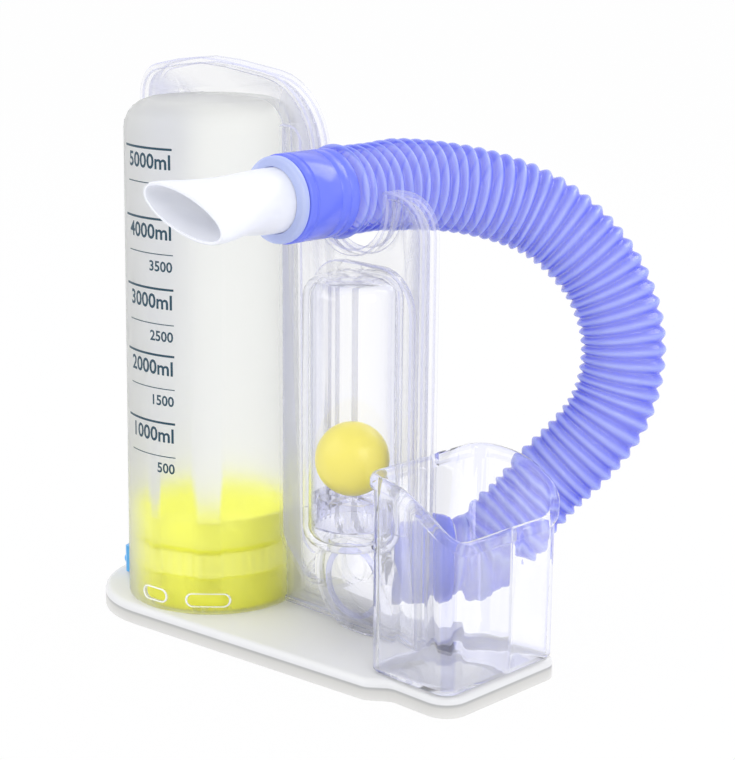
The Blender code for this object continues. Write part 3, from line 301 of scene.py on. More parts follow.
# painted shade: the skirt's grey-beige tones and the dark shadow line under the lip
SHADED_SKIRT_FOOT = (0.78, 0.77, 0.73, 1)
WHITE_LIP = (0.82, 0.82, 0.80, 1)
PAINTED_SHADE_LEVELS = ((0.45, (0.64, 0.63, 0.59, 1)), (0.60, (0.42, 0.42, 0.41, 1)),
          (0.66, (0.80, 0.80, 0.79, 1)))
white_base, tree, shader, _ = start_material("white_base")
place = tree.nodes.new("ShaderNodeTexCoord")
axes = tree.nodes.new("ShaderNodeSeparateXYZ")
height = set_sockets(tree.nodes.new("ShaderNodeMapRange"), {"From Max": LIP_TOP})
ramp = tree.nodes.new("ShaderNodeValToRGB")
stops = ramp.color_ramp.elements
stops[0].color = SHADED_SKIRT_FOOT
stops[1].color = WHITE_LIP
for level, tone in PAINTED_SHADE_LEVELS:
    stops.new(level).color = tone
tree.links.new(place.outputs["Object"], axes.inputs["Vector"])
tree.links.new(axes.outputs["Z"], height.inputs["Value"])
tree.links.new(height.outputs["Result"], ramp.inputs["Fac"])
tree.links.new(ramp.outputs["Color"], shader.inputs["Base Color"])
set_sockets(shader, {"Roughness": 0.25})
print("base tones:", len(stops))

# %% [markdown]
# ## Clear mouldings
# The panel is clear styrene: nearly invisible face on, and a milky lilac at its edges. Real
# refraction would be one way, but light then has to pass more walls than a renderer follows,
# and the thin ones go black. So alpha fades each wall in where it turns away from the eye, and
# the slanting edges and the side walls get darker, denser copies of the finish as painted shade.

# %% Clear finishes
EDGE_BLEND = 0.42
EDGE_ON = 0.97


def fading_wall(tree, shader, low, high, start):
    """Fade a wall in, from low face on to high edge on."""
    facing = set_sockets(tree.nodes.new("ShaderNodeLayerWeight"), {"Blend": EDGE_BLEND})
    fade = set_sockets(tree.nodes.new("ShaderNodeMapRange"),
                       {"From Min": start, "From Max": EDGE_ON, "To Min": low, "To Max": high})
    tree.links.new(facing.outputs["Facing"], fade.inputs["Value"])
    tree.links.new(fade.outputs["Result"], shader.inputs["Alpha"])
    return facing.outputs["Facing"]


def clear_plastic(name, face, edge, low, high, start=0.55, roughness=0.08, ior=1.6):
    """Clear moulding: nearly invisible face on, and milky where it turns away."""
    mat, tree, shader, _ = start_material(name)
    facing = fading_wall(tree, shader, low, high, start)
    two_tone(tree, shader, facing, face, edge)
    set_sockets(shader, {"Roughness": roughness, "IOR": ior})
    return mat


clear = clear_plastic("clear_styrene", (0.96, 0.96, 0.97), (0.78, 0.79, 0.94), 0.05, 0.60)
# painted shade: darker, denser copies of the clear finish for side walls and edge lines
clear_side_shade = clear_plastic("clear_side_shade", (0.90, 0.905, 0.95), (0.74, 0.75, 0.93), 0.15, 0.65)
clear_shade_line = clear_plastic("clear_shade_line", (0.66, 0.67, 0.88), (0.55, 0.57, 0.86), 0.48, 0.88)
clear_ridge = clear_plastic("clear_ridge", (0.95, 0.95, 0.98), (0.74, 0.75, 0.93), 0.10, 0.70)
print("clear finishes:", [mat.name for mat in (clear, clear_side_shade, clear_shade_line, clear_ridge)])

# %% [markdown]
# ## Cup, bowl and ball tube
# These walls lie behind each other, so there are too many of them for alpha, which is followed
# through only a few surfaces. Transmission is followed further. Its index of refraction is kept
# close to that of air, so it hardly bends light and stays bright, and a clear coat gives back
# the gloss that such a low index takes away.

# %% Tinted finishes
TINT_BLEND = 0.35
TINT_ROUGHNESS = 0.03
COAT_ROUGHNESS = 0.04
# colour of the painted glow in the tinted finishes
PALE_LIGHT = (0.95, 0.95, 1.0)


def tinted_clear(name, face, edge, glow, ior=1.04):
    """Clear moulding that hardly bends light; its tint grows where it turns away."""
    mat, tree, shader, _ = start_material(name)
    facing = set_sockets(tree.nodes.new("ShaderNodeLayerWeight"), {"Blend": TINT_BLEND})
    two_tone(tree, shader, facing.outputs["Facing"], face, edge)
    set_sockets(shader, {"Roughness": TINT_ROUGHNESS, "IOR": ior, "Transmission Weight": 1.0,
                         "Coat Weight": 1.0, "Coat Roughness": COAT_ROUGHNESS})
    # painted glow: faint emission that stands in for light coming through the walls
    painted_glow(shader, PALE_LIGHT, glow)
    return mat


clear_cup = tinted_clear("clear_cup", (0.985, 0.985, 0.995), (0.86, 0.87, 0.965), 0.025)
# painted shade: a darker copy of the cup's finish for its flutes and rim
cup_shade_line = tinted_clear("cup_shade_line", (0.885, 0.89, 0.975), (0.62, 0.64, 0.92), 0.02)
clear_tube = tinted_clear("clear_tube", (0.985, 0.985, 0.99), (0.82, 0.83, 0.93), 0.01, ior=1.05)
clear_bowl = tinted_clear("clear_bowl", (0.985, 0.985, 0.99), (0.84, 0.85, 0.95), 0.015)
# painted shade: a darker copy of the bowl's finish for its slanting faces; the ball's grate
# wears it all over
bowl_shade_line = tinted_clear("bowl_shade_line", (0.90, 0.905, 0.97), (0.66, 0.67, 0.91), 0.012)
ring_lilac = tinted_clear("ring_lilac", (0.80, 0.81, 0.97), (0.62, 0.64, 0.92), 0.02)
print("tinted finishes:", [mat.name for mat in (clear_cup, clear_tube, clear_bowl, ring_lilac)])

# %% [markdown]
# ## Frosted cylinder
# The cylinder's wall is matt, so the piston shows through it as a soft yellow shape that blurs
# with its distance from the wall. Translucent or subsurface shading would only glow. Rough
# transmission scatters what lies behind, which is what a frosted wall does.

# %% Frosted finish
FROST_ROUGHNESS = 0.46
FROST_IOR = 1.25
frosted, tree, shader, mottle = start_material("frosted_styrene", grain_share=0.6, bump=0.05)
two_tone(tree, shader, mottle, (0.955, 0.96, 0.95), (0.975, 0.98, 0.97))
set_sockets(shader, {"Roughness": FROST_ROUGHNESS, "IOR": FROST_IOR, "Transmission Weight": 1.0})
print("frosted wall: roughness", FROST_ROUGHNESS)

# %% [markdown]
# ## Hose, cuffs and mouthpiece
# The hose is thin violet-blue plastic that lets a little light through. Its ridges carry a
# painted
# highlight: the tone is palest on the crests and darker, as painted shade, in the grooves. A
# colour by slope would slide over them as the hose bends, so the tone follows an attribute that
# is stored on the ridges when they are made. The collar and the mouthpiece are paler and milkier
# versions of the same soft plastic, and the mouthpiece has a faint painted glow.

# %% Soft finishes
RIDGE_HIGHLIGHT_LAYER = "ridge"
violet, tree, shader, _ = start_material("violet_hose")
fading_wall(tree, shader, 0.55, 0.97, 0.25)
ridge_highlight_mask = tree.nodes.new("ShaderNodeAttribute")
ridge_highlight_mask.attribute_name = RIDGE_HIGHLIGHT_LAYER
# painted highlight on the crests and painted shade in the grooves
two_tone(tree, shader, ridge_highlight_mask.outputs["Fac"], (0.055, 0.085, 0.88), (0.34, 0.42, 1.0))
set_sockets(shader, {"Roughness": 0.16, "IOR": 1.5})
violet_cuff = clear_plastic("violet_cuff", (0.20, 0.26, 1.0), (0.11, 0.15, 0.96), 0.80, 0.98,
                            start=0.25, roughness=0.18, ior=1.5)
ice = clear_plastic("ice_collar", (0.66, 0.74, 1.0), (0.50, 0.58, 0.98), 0.65, 0.9,
                    start=0.3, roughness=0.3, ior=1.5)
milky = clear_plastic("milky_mouthpiece", (0.95, 0.96, 0.98), (0.90, 0.91, 0.97), 0.72, 0.92,
                      start=0.3, roughness=0.3, ior=1.5)
# painted glow: faint emission on the mouthpiece
painted_glow(milky.node_tree.nodes["Principled BSDF"], (0.95, 0.96, 1.0), 0.04)
print("soft finishes:", [mat.name for mat in (violet, violet_cuff, ice, milky)])

# %% [markdown]
# ## Corrugated hose
# The hose is a blown tube whose ridges let it bend. A curve with a bevel and a displacement
# would smear the ridges where the bend is tight. So a wavy line is spun round an axis into a
# straight sleeve, and each of its rings is then carried onto the route, turned square to it,
# so that the ridges fan out round the bend as real ones do.

# %% Straight sleeve
PITCH = 0.0045              # from ridge to ridge
RIDGE_DEPTH = 0.0017
STEPS_PER_RIDGE = 10
CREST_FULLNESS = 0.7        # below 1, crests are wider than grooves
HOSE_SEGMENTS = 56
CRESTS = [(0.000, 0.01480), (0.003, 0.01600), (0.006, 0.01490), (0.019, 0.01485),
          (0.030, 0.01570), (0.050, 0.01540), (0.120, 0.01510), (0.200, 0.01475),
          (hose_length, 0.01430)]


def crest_radius(walk):
    """Radius of the ridges at a distance along the hose."""
    for (a, low), (b, high) in zip(CRESTS, CRESTS[1:]):
        if walk <= b:
            return low + (high - low) * (walk - a) / (b - a)
    return CRESTS[-1][1]


def spun(profile, steps, closed=True):
    """Spin a profile of (radius, height) about Z."""
    bm = bmesh.new()
    verts = [bm.verts.new((r, 0, z)) for r, z in profile]
    for a, b in zip(verts, verts[1:]):
        bm.edges.new((a, b))
    if closed:
        bm.edges.new((verts[-1], verts[0]))
    bmesh.ops.spin(bm, geom=bm.verts[:] + bm.edges[:], cent=(0, 0, 0), axis=(0, 0, 1),
                   angle=math.tau, steps=steps, use_merge=True)
    bmesh.ops.remove_doubles(bm, verts=bm.verts, dist=1e-6)
    bmesh.ops.recalc_face_normals(bm, faces=bm.faces)
    return bm


wave_steps = round(hose_length / PITCH) * STEPS_PER_RIDGE
wave = []
for k in range(wave_steps + 1):
    walk = hose_length * k / wave_steps
    swell = (0.5 - 0.5 * math.cos(math.tau * k / STEPS_PER_RIDGE)) ** CREST_FULLNESS
    wave.append((crest_radius(walk) - RIDGE_DEPTH * (1 - swell), walk))
bm = spun(wave, HOSE_SEGMENTS, closed=False)
print("ridges:", wave_steps // STEPS_PER_RIDGE, "faces:", len(bm.faces))

# %% [markdown]
# ## Sleeve on its route
# A Curve modifier could bend the sleeve, but it may twist where the route turns in space. So
# each point of the route gets its own sideways direction, as near as it can be to that of the
# point before, which is how a real hose lies. The height on the ridge, which sets the painted
# highlight on the crests, is stored as an attribute on the way, because the sleeve is still
# straight and easy to measure.

# %% Sleeve on its route
RIDGE_HIGHLIGHT_SHARPNESS = 3


def show(name, bm, mat, body="stand", stands_for=(), angle=35):
    """Put a bmesh in the scene as one finished piece that rides on a body."""
    mesh = bpy.data.meshes.new(name)
    bm.to_mesh(mesh)
    bm.free()
    for face in mesh.polygons:
        face.use_smooth = True
    mesh.set_sharp_from_angle(angle=math.radians(angle))
    mesh.materials.append(mat)
    obj = bpy.data.objects.new(name, mesh)
    bpy.context.scene.collection.objects.link(obj)
    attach(obj, body)
    if stands_for:
        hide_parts(*stands_for)
    return obj


turn_frames = []
sideways = Vector((1, 0, 0))
for i, point in enumerate(hose_line):
    before = hose_line[max(0, i - 1)]
    after = hose_line[min(len(hose_line) - 1, i + 1)]
    ahead = (after - before).normalized()
    sideways = (sideways - ahead * sideways.dot(ahead)).normalized()
    turn_frames.append((point, sideways.copy(), ahead.cross(sideways)))
last = len(hose_line) - 1
ridge_highlight_layer = bm.verts.layers.float.new(RIDGE_HIGHLIGHT_LAYER)
for vert in bm.verts:
    crest = math.hypot(vert.co.x, vert.co.y) - crest_radius(vert.co.z) + RIDGE_DEPTH
    vert[ridge_highlight_layer] = min(1.0, max(0.0, crest / RIDGE_DEPTH)) ** RIDGE_HIGHLIGHT_SHARPNESS
    walk = min(last, max(0.0, vert.co.z / hose_length * last))
    i = min(last - 1, int(walk))
    (near, near_x, near_y), (far, far_x, far_y) = turn_frames[i], turn_frames[i + 1]
    across = near_x.lerp(far_x, walk - i).normalized()
    over = near_y.lerp(far_y, walk - i).normalized()
    vert.co = near.lerp(far, walk - i) + across * vert.co.x + over * vert.co.y
bmesh.ops.recalc_face_normals(bm, faces=bm.faces)
hose = show("corrugated_hose", bm, violet, stands_for=["hose"], angle=180)
print("hose faces:", len(hose.data.polygons))

# %% [markdown]
# ## Turned pieces
# The cuffs and the collar are round pieces with rounded edges. A cylinder with a Bevel modifier
# would be close, but each of these edges has a radius of its own. So their profiles are drawn
# with small arcs and spun upright, and a second helper then lays the piece along its heading.

# %% Turned pieces
SPIN_STEPS = 96


def arc(centre, radius, start, end, steps):
    """Profile points on an arc, angles in degrees."""
    return [(centre[0] + radius * math.cos(math.radians(start + (end - start) * k / steps)),
             centre[1] + radius * math.sin(math.radians(start + (end - start) * k / steps)))
            for k in range(steps + 1)]


def set_along(bm, origin, heading):
    """Turn Z to a heading and move to an origin."""
    z_axis = heading.normalized()
    x_axis = Vector((0, 0, 1)).cross(z_axis).normalized()
    turn = Matrix((x_axis, z_axis.cross(x_axis), z_axis)).transposed().to_4x4()
    bmesh.ops.transform(bm, matrix=Matrix.Translation(origin) @ turn, verts=bm.verts)
    bmesh.ops.recalc_face_normals(bm, faces=bm.faces)
    return bm


print("a quarter arc:", [tuple(round(c, 2) for c in p) for p in arc((0, 0), 1, 0, 90, 2)])

# %% [markdown]
# ## Cuffs
# Each end of the hose is a smooth sleeve that grips what it is pushed on. It could be left a
# plain tube, but its lips and the faint grooves round it are what make it read as a soft
# moulded cuff. So both are part of the profile of its wall, and each groove is a row in a list.

# %% Cuffs
CUFF_BORE_R = 0.0112
CUFF_LIP = 0.0009
BORE_LIP = 0.0006
GROOVE_SIDE = 0.7           # share of its depth that a groove has halfway to its middle
FIT_GAP = 0.0003            # room between two pieces on the hose
UPPER_LENGTH = 0.0222
LOWER_LENGTH = 0.0215


def cuff(name, foot, heading, length, node, grooves):
    """A smooth sleeve with rounded lips and a few fine grooves round it."""
    profile = arc((CUFF_BORE_R + BORE_LIP, BORE_LIP), BORE_LIP, 180, 270, 3)
    profile += arc((HOSE_R - CUFF_LIP, CUFF_LIP), CUFF_LIP, -90, 0, 5)
    for place, half, depth in grooves:
        side_r = HOSE_R - depth * GROOVE_SIDE
        profile += [(HOSE_R, place - half), (side_r, place - half / 2), (HOSE_R - depth, place),
                    (side_r, place + half / 2), (HOSE_R, place + half)]
    profile += arc((HOSE_R - CUFF_LIP, length - CUFF_LIP), CUFF_LIP, 0, 90, 5)
    profile += [(CUFF_BORE_R, length)]
    bm = set_along(spun(profile, SPIN_STEPS), foot, heading)
    return show(name, bm, violet_cuff, stands_for=[node])


face_y = HOSE_START.y - FIT_GAP - UPPER_LENGTH
upper_cuff = cuff("upper_sleeve", Vector((HOSE_START.x, face_y, HOSE_START.z)),
                  Vector((0, 1, 0)), UPPER_LENGTH, "upper_cuff",
                  [(0.0032, 0.0006, 0.0005), (0.0140, 0.0003, 0.00015),
                   (0.0182, 0.0003, 0.00015)])
lower_cuff = cuff("lower_sleeve", HOSE_END - HOSE_HEADING * (FIT_GAP + LOWER_LENGTH),
                  HOSE_HEADING, LOWER_LENGTH, "lower_cuff",
                  [(0.0050, 0.0003, 0.00015), (0.0170, 0.0003, 0.00015)])
print("cuffs:", upper_cuff.name, lower_cuff.name)

# %% [markdown]
# ## Mouthpiece
# A round neck flares and flattens into an oval tip for the lips. It could be pushed out of a
# tube with a lattice, but rings give more control. Circles are squashed, tilted and bridged,
# outside and then back inside, so the wall has a true thickness.

# %% Mouthpiece
NECK_R = 0.0106
TIP_HALF_WIDE = 0.0195
TIP_HALF_HIGH = 0.0070
TIP_TILT = math.radians(16)
TIP_Y = -0.0770 + SHIFT.y
TIP_ROUND = 0.0008          # the wall starts to round off this far from the tip
TIP_CORNER = 0.0005         # and has lost this much of its width there
TIP_HOLLOW = 0.0001
MOUTH_WALL = 0.0013
NECK_SHOWS = 0.0025         # straight neck in front of the collar
NECK_INSIDE = 0.0200        # and inside the cuff
COLLAR_LONG = 0.0028
FLARE_STEPS = 14
RING_SEGMENTS = 72
flare_y = face_y - COLLAR_LONG - NECK_SHOWS


def ease(value):
    """Smooth step from 0 to 1."""
    return value * value * (3 - 2 * value)


def oval_ring(bm, y, share, wall):
    """One ring of the mouthpiece at depth y; wall shrinks it for the inside."""
    grow = ease(share)
    wide = NECK_R + (TIP_HALF_WIDE - NECK_R) * grow - wall
    high = NECK_R + (TIP_HALF_HIGH - NECK_R) * grow - wall
    ring = bmesh.ops.create_circle(bm, segments=RING_SEGMENTS, radius=1.0)["verts"]
    size = Matrix.Diagonal((wide, high, 1, 1))
    stand = Matrix.Rotation(math.radians(90), 4, "X")
    tilt = Matrix.Rotation(TIP_TILT * grow, 4, "Y")
    place = Matrix.Translation((HOSE_START.x, y, HOSE_START.z))
    bmesh.ops.transform(bm, matrix=place @ tilt @ stand @ size, verts=ring)
    return {edge for vert in ring for edge in vert.link_edges}


stations = [(face_y + NECK_INSIDE, 0.0), (flare_y, 0.0)]
stations += [(flare_y + (TIP_Y + TIP_ROUND - flare_y) * k / FLARE_STEPS, k / FLARE_STEPS)
             for k in range(1, FLARE_STEPS + 1)]
bm = bmesh.new()
rings = [oval_ring(bm, y, share, 0.0) for y, share in stations]
rings.append(oval_ring(bm, TIP_Y, 1.0, TIP_CORNER))
rings.append(oval_ring(bm, TIP_Y + TIP_HOLLOW, 1.0, MOUTH_WALL))
rings += [oval_ring(bm, y, share, MOUTH_WALL) for y, share in reversed(stations)]
for a, b in zip(rings, rings[1:] + rings[:1]):
    bmesh.ops.bridge_loops(bm, edges=list(a | b))
bmesh.ops.recalc_face_normals(bm, faces=bm.faces)
mouthpiece = show("mouthpiece_shell", bm, milky, stands_for=["mouthpiece"], angle=50)
print("mouthpiece rings:", len(rings))

# %% [markdown]
# ## Collar
# A pale ring closes the gap between the cuff and the mouthpiece. A torus would be too round for
# it: the real one is flat at the back with a soft shoulder in front, so it is spun as well.

# %% Collar
COLLAR_R = 0.0142
COLLAR_BORE_R = NECK_R + FIT_GAP
SHOULDER = 0.0012
BACK_EDGE = 0.0004
profile = [(COLLAR_BORE_R, 0)]
profile += arc((COLLAR_R - SHOULDER, SHOULDER), SHOULDER, -90, 0, 5)
profile += arc((COLLAR_R - BACK_EDGE, COLLAR_LONG - BACK_EDGE), BACK_EDGE, 0, 90, 3)
profile += [(COLLAR_BORE_R, COLLAR_LONG)]
foot = Vector((HOSE_START.x, face_y - FIT_GAP - COLLAR_LONG, HOSE_START.z))
bm = set_along(spun(profile, SPIN_STEPS), foot, Vector((0, 1, 0)))
collar = show("collar_ring", bm, ice, stands_for=["mouthpiece_collar"])
print("collar radius: %.1f mm" % (COLLAR_R * 1000))

# %% [markdown]
# ## The hose as a cord
# Whoever uses the part later may bend the hose in a simulation. It could stay a rigid mesh, but
# then its facts would be lost, so two of them are printed here: its length and its width over
# the ridges.

# %% Cord
print("cord: %.4f m long, %.1f mm wide" % (hose_length, 2000 * HOSE_R))

# %% [markdown]
# ## Dressing a solid
# The other mouldings are already exact in the frame. They could be modelled again, but the
# solids have the right walls, lips and flutes. A copy with its loose triangles merged shades
# smoothly, and clear plastic shows mostly at its edges, so the narrow slanting faces there are
# picked out by their direction and get a darker, denser finish as painted shade lines.

# %% Base and panel
SLANT_FROM, SLANT_TO = 0.30, 0.95       # how far an edge face of the panel looks forward
CUP_FLAT = 0.93                         # a face of the cup that looks straight along an axis


def dress(node, mat, name, body="stand", angle=35):
    """A smooth copy of a solid in a new finish."""
    bm = bmesh.new()
    bm.from_mesh(nodes[node].data)
    bmesh.ops.remove_doubles(bm, verts=bm.verts, dist=1e-6)
    return show(name, bm, mat, body=body, stands_for=[node], angle=angle)


def outlined(obj, line, side=None, cup=False):
    """Paint the narrow slanting faces, which catch the light as lines, with a darker, denser
    finish as painted shade, and the side walls, when a side finish is given, with a greyer
    painted shade.
    """
    obj.data.materials.append(line)
    if side:
        obj.data.materials.append(side)
    for face in obj.data.polygons:
        x, y, z = (abs(c) for c in face.normal)
        slanting = max(x, y, z) < CUP_FLAT if cup else SLANT_FROM < y < SLANT_TO
        if slanting:
            face.material_index = 1
        elif side and y <= SLANT_FROM:
            face.material_index = 2


dress("base", white_base, "base_moulding")
outlined(dress("front_panel", clear, "panel_front_half"), clear_shade_line, clear_side_shade)
outlined(dress("rear_panel", clear, "panel_rear_half"), clear_shade_line, clear_side_shade)
print("base and two panel halves dressed")

# %% [markdown]
# ## Cylinder and air passages
# The cylinder, the channel beside it, the round chamber and the ball's tube and seat stand on
# the panel. They stay separate pieces, as they are in the frame, so that each has the finish
# that its wall needs: frosted, clear by alpha, or clear by transmission where walls pile up.

# %% Cylinder and air passages
dress("volume_cylinder", frosted, "frosted_cylinder")
outlined(dress("air_duct", clear, "duct_shell"), clear_shade_line)
outlined(dress("plenum_shell", clear_bowl, "plenum_bowl"), bowl_shade_line)
dress("plenum_ring", ring_lilac, "plenum_bead")
outlined(dress("chamber_frame", clear, "chamber_border"), clear_shade_line, clear_side_shade)
dress("ball_tube", clear_tube, "flow_tube")
dress("ball_seat", bowl_shade_line, "ball_grate")
dress("marker_rail", clear_ridge, "marker_track")
print("cylinder, air passages and rail dressed")

# %% [markdown]
# ## Cup, elbow and spigot
# The open cup is clear all round, so two of its walls are always seen one behind the other.
# One finish for all of it would show as a plain sheet. Its flutes and its rim catch the light,
# so their slanting faces get a darker line finish as painted shade; the elbow and spigot stay
# plain.

# %% Cup, elbow and spigot
outlined(dress("front_cup", clear_cup, "cup_front_half"), cup_shade_line, cup=True)
outlined(dress("rear_cup", clear_cup, "cup_rear_half"), cup_shade_line, cup=True)
dress("rear_elbow", clear_bowl, "elbow_shell")
dress("port_spigot", clear_bowl, "spigot_tube")
print("cup, elbow and spigot dressed")

# %% [markdown]
# ## Moving pieces
# The piston, the ball and the goal marker slide. Parenting them by hand would break with the
# next change of the frame, so each one rides on its body by name and moves when the body does.

# %% Moving pieces
dress("piston_crown", lemon, "piston_cup", body="piston")
# the rib band and the skirt wear the painted light and painted shade copies of the yellow
dress("piston_rib_band", lemon_painted_light, "piston_ribs", body="piston")
dress("piston_skirt", lemon_painted_shade, "piston_shell", body="piston")
dress("flow_ball", yellow, "ball_shell", body="ball", angle=180)
dress("goal_marker", sky, "marker_clip", body="marker")

# %% [markdown]
# ## Rims of the air slots
# The cylinder lets room air in through two slots at its foot, and their cut edges catch the
# light as a pale line. A bevel on the cylinder would soften the cut but show no line. So that
# highlight
# is painted: a small grid is rolled into a pale bead, which follows each outline and bends to
# the round wall.

# %% Slot rims
AXIS = Vector((0, -0.0102, 0)) + SHIFT
CYL_FOOT_R = 0.0315
SLOT_HALF_TALL = 0.0024
SLOT_Z = 0.0127
BEAD_R = 0.00042
BEAD_SIDES = 6
BEAD_OUT = 0.6              # share of the bead's radius that its middle stands off the wall


def slot_rim(name, azimuth, wide):
    """A fine pale bead round one air slot, a painted highlight on its cut edge."""
    end = wide / 2 - SLOT_HALF_TALL
    outline = arc((end, 0), SLOT_HALF_TALL, -90, 90, 10)
    outline += arc((-end, 0), SLOT_HALF_TALL, 90, 270, 10)
    around = len(outline)
    bm = bmesh.new()
    bmesh.ops.create_grid(bm, x_segments=around, y_segments=BEAD_SIDES, size=0.5)
    for vert in bm.verts:
        across, up = outline[round((vert.co.x + 0.5) * around) % around]
        turn = math.tau * (vert.co.y + 0.5)
        grow = 1 + BEAD_R * math.cos(turn) / math.hypot(across, up)
        radius = CYL_FOOT_R + BEAD_R * (BEAD_OUT + math.sin(turn))
        angle = azimuth + across * grow / CYL_FOOT_R
        vert.co = (AXIS.x + radius * math.cos(angle), AXIS.y + radius * math.sin(angle),
                   SLOT_Z + up * grow)
    bmesh.ops.remove_doubles(bm, verts=bm.verts, dist=1e-7)
    bmesh.ops.recalc_face_normals(bm, faces=bm.faces)
    return show(name, bm, rim_highlight_white, angle=180)


wide_rim = slot_rim("wide_slot_rim", math.radians(-46.3), 0.0157)
narrow_rim = slot_rim("narrow_slot_rim", math.radians(-84.6), 0.0110)
print("rim faces:", len(wide_rim.data.polygons), len(narrow_rim.data.polygons))

# %% [markdown]
# ## Flat lines and figures
# The scale is ink on a round wall. It could be a texture, but figures made of mesh stay sharp at
# any distance. They are drawn flat first. A text object's faces are long slivers that would not
# bend, so each figure is cut into upright slices, and each line is a grid of short pieces.

# %% Flat lines and figures
STEP_ML = 500
MARK_HEIGHTS = [0.0643, 0.0764, 0.0886, 0.1004, 0.1114, 0.1237, 0.1358, 0.1478, 0.1599, 0.1718]
BIG_MARK = (0.0249, 0.0008, "%dml", 0.0071, 0.0068)     # a line's length and thickness, then
SMALL_MARK = (0.0221, 0.00035, "%d", 0.0050, 0.0059)    # its words, their size and their drop
LINE_PIECES = 24
ROUNDNESS = 3               # steps in each curve of a figure
INK_SPREAD = 0.020          # strokes are thickened by this share of a figure's size
FIGURE_GAP = 0.0003
CUT_EVERY = 0.001
CUTS = 40


def words(text, size, z):
    """Flat figures with their foot at height z, ending at the right-hand edge."""
    data = bpy.data.curves.new(text, "FONT")
    data.body = text
    data.size = size
    data.align_x = "RIGHT"
    data.resolution_u = ROUNDNESS
    data.offset = size * INK_SPREAD
    obj = bpy.data.objects.new(text, data)
    bpy.context.scene.collection.objects.link(obj)
    graph = bpy.context.evaluated_depsgraph_get()
    mesh = bpy.data.meshes.new_from_object(obj.evaluated_get(graph))
    bpy.data.objects.remove(obj)
    bm = bmesh.new()
    bm.from_mesh(mesh)
    bpy.data.meshes.remove(mesh)
    bmesh.ops.remove_doubles(bm, verts=bm.verts, dist=1e-7)
    bmesh.ops.translate(bm, vec=(-FIGURE_GAP, z, 0), verts=bm.verts)
    for k in range(CUTS):
        bmesh.ops.bisect_plane(bm, geom=bm.verts[:] + bm.edges[:] + bm.faces[:], dist=1e-7,
                               plane_co=(-CUT_EVERY * k, 0, 0), plane_no=(1, 0, 0))
    return bm


def strip(length, z, thick):
    """A flat line that ends at the right-hand edge."""
    bm = bmesh.new()
    bmesh.ops.create_grid(bm, x_segments=LINE_PIECES, y_segments=1, size=0.5)
    bmesh.ops.scale(bm, vec=(length, thick, 1), verts=bm.verts)
    bmesh.ops.translate(bm, vec=(-length / 2, z, 0), verts=bm.verts)
    return bm


scale_parts = []
for i, z in enumerate(MARK_HEIGHTS):
    value = STEP_ML * (i + 1)
    length, thick, text, size, drop = SMALL_MARK if value % 1000 else BIG_MARK
    scale_parts += [strip(length, z, thick), words(text % value, size, z - drop)]
print("flat lines and figures:", len(scale_parts))

# %% [markdown]
# ## Scale on the wall
# A Shrinkwrap modifier could lay the flat drawing on the cylinder, but it would press the
# figures flat from one side and stretch them. Rolling keeps their width: the way across the
# drawing becomes an angle round the axis, a hair above the wall, which narrows towards its top.

# %% Scale on the wall
CYL_TOP_R = 0.03015
CYL_TOP_Z = 0.1765
BASE_TOP_Z = 0.0076
INK_GAP = 0.00012
RIGHT_EDGE = math.radians(-66.8)


def roll_on(bm):
    """Roll a flat drawing, with x running left from the right-hand edge, on the wall."""
    for vert in bm.verts:
        z = vert.co.y
        rise = (z - BASE_TOP_Z) / (CYL_TOP_Z - BASE_TOP_Z)
        radius = CYL_FOOT_R + (CYL_TOP_R - CYL_FOOT_R) * rise + INK_GAP
        angle = RIGHT_EDGE + vert.co.x / radius
        vert.co = (AXIS.x + radius * math.cos(angle), AXIS.y + radius * math.sin(angle), z)


all_print = bmesh.new()
for part in scale_parts:
    roll_on(part)
    rolled = bpy.data.meshes.new("rolled")
    part.to_mesh(rolled)
    part.free()
    all_print.from_mesh(rolled)
    bpy.data.meshes.remove(rolled)
printed = show("printed_scale", all_print, ink)
print("scale faces:", len(printed.data.polygons))

# %% [markdown]
# ## Floor and backdrop
# The photograph is a product shot on white. A bright lamp could burn the floor white, but it
# would burn the pale plastic too. So the floor and the backdrop are white only for the camera
# and for what mirrors or lets light through, and the floor keeps a little of the shadow.

# %% Floor
FLOOR_HALF = 4.0
WHITE_SHARE = 0.97


def pale_for_camera(tree):
    """A mask that is 1 for camera, glossy and transmission rays."""
    path = tree.nodes.new("ShaderNodeLightPath")
    first = tree.nodes.new("ShaderNodeMath")
    second = tree.nodes.new("ShaderNodeMath")
    first.operation = second.operation = "MAXIMUM"
    tree.links.new(path.outputs["Is Camera Ray"], first.inputs[0])
    tree.links.new(path.outputs["Is Glossy Ray"], first.inputs[1])
    tree.links.new(first.outputs[0], second.inputs[0])
    tree.links.new(path.outputs["Is Transmission Ray"], second.inputs[1])
    return second.outputs[0]


def blended(tree, factor, first, second, goal):
    """Mix two shaders into an output node."""
    mix = tree.nodes.new("ShaderNodeMixShader")
    tree.links.new(factor, mix.inputs[0])
    tree.links.new(first.outputs[0], mix.inputs[1])
    tree.links.new(second.outputs[0], mix.inputs[2])
    tree.links.new(mix.outputs[0], tree.nodes[goal].inputs["Surface"])


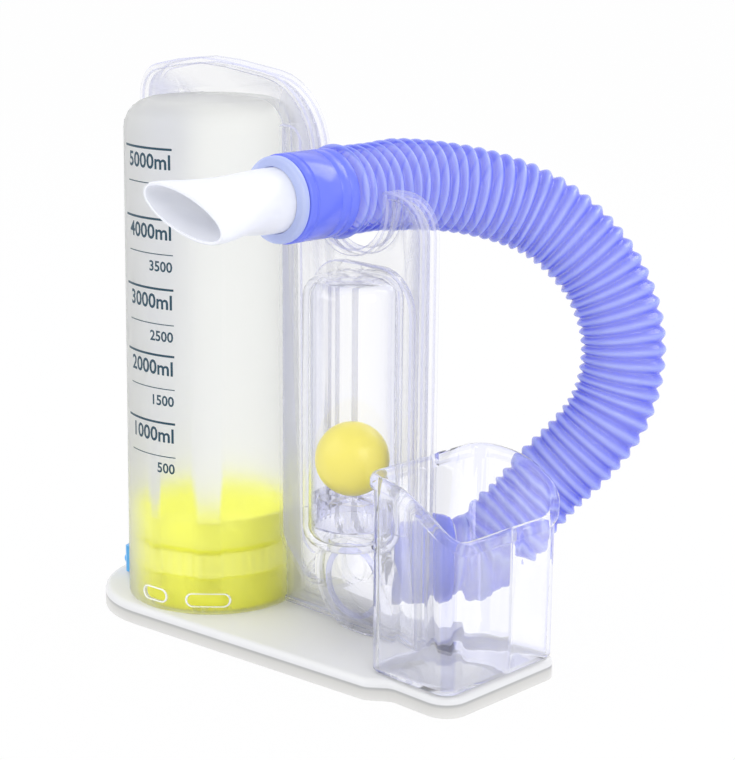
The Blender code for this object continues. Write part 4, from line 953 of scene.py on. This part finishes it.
paper = bpy.data.materials.new("floor_paper")
paper.use_nodes = True
tree = paper.node_tree
lit = set_sockets(tree.nodes["Principled BSDF"],
                  {"Base Color": (0.92, 0.92, 0.93, 1), "Roughness": 0.9})
white = set_sockets(tree.nodes.new("ShaderNodeEmission"), {"Color": (1, 1, 1, 1)})
share = tree.nodes.new("ShaderNodeMath")
share.operation = "MULTIPLY"
share.inputs[1].default_value = WHITE_SHARE
tree.links.new(pale_for_camera(tree), share.inputs[0])
blended(tree, share.outputs[0], lit, white, "Material Output")
floor_bm = bmesh.new()
bmesh.ops.create_grid(floor_bm, x_segments=1, y_segments=1, size=FLOOR_HALF)
floor_mesh = bpy.data.meshes.new("floor")
floor_bm.to_mesh(floor_mesh)
floor_bm.free()
floor_mesh.materials.append(paper)
floor = bpy.data.objects.new("floor", floor_mesh)
bpy.context.scene.collection.objects.link(floor)
print("floor:", 2 * FLOOR_HALF, "m wide")

# %% [markdown]
# ## Light
# Studio light for clear plastic is soft and comes from all round, because hard lamps leave
# hard spots on it. The world gives most of it, a large soft box at the front left shapes the
# object, and two smaller ones from the side and the back draw its edges.

# %% Lights
WORLD_STRENGTH = 0.84
AIM = Vector((0, 0, 0.1))
world = bpy.data.worlds.new("studio")
bpy.context.scene.world = world
world.use_nodes = True
tree = world.node_tree
soft = set_sockets(tree.nodes["Background"],
                   {"Color": (0.93, 0.94, 1.0, 1), "Strength": WORLD_STRENGTH})
white = set_sockets(tree.nodes.new("ShaderNodeBackground"), {"Color": (1, 1, 1, 1)})
blended(tree, pale_for_camera(tree), soft, white, "World Output")


def softbox(name, place, size, power):
    """A square soft light aimed at the middle of the object."""
    data = bpy.data.lights.new(name, "AREA")
    data.size = size
    data.energy = power
    lamp = bpy.data.objects.new(name, data)
    lamp.location = place
    lamp.rotation_euler = (AIM - Vector(place)).to_track_quat("-Z", "Y").to_euler()
    bpy.context.scene.collection.objects.link(lamp)


softbox("key_light", (-0.5, -0.9, 0.9), 1.2, 5.0)
softbox("side_light", (1.0, -0.1, 0.6), 0.5, 3.0)
softbox("back_light", (0.1, 0.9, 0.8), 0.6, 3.0)
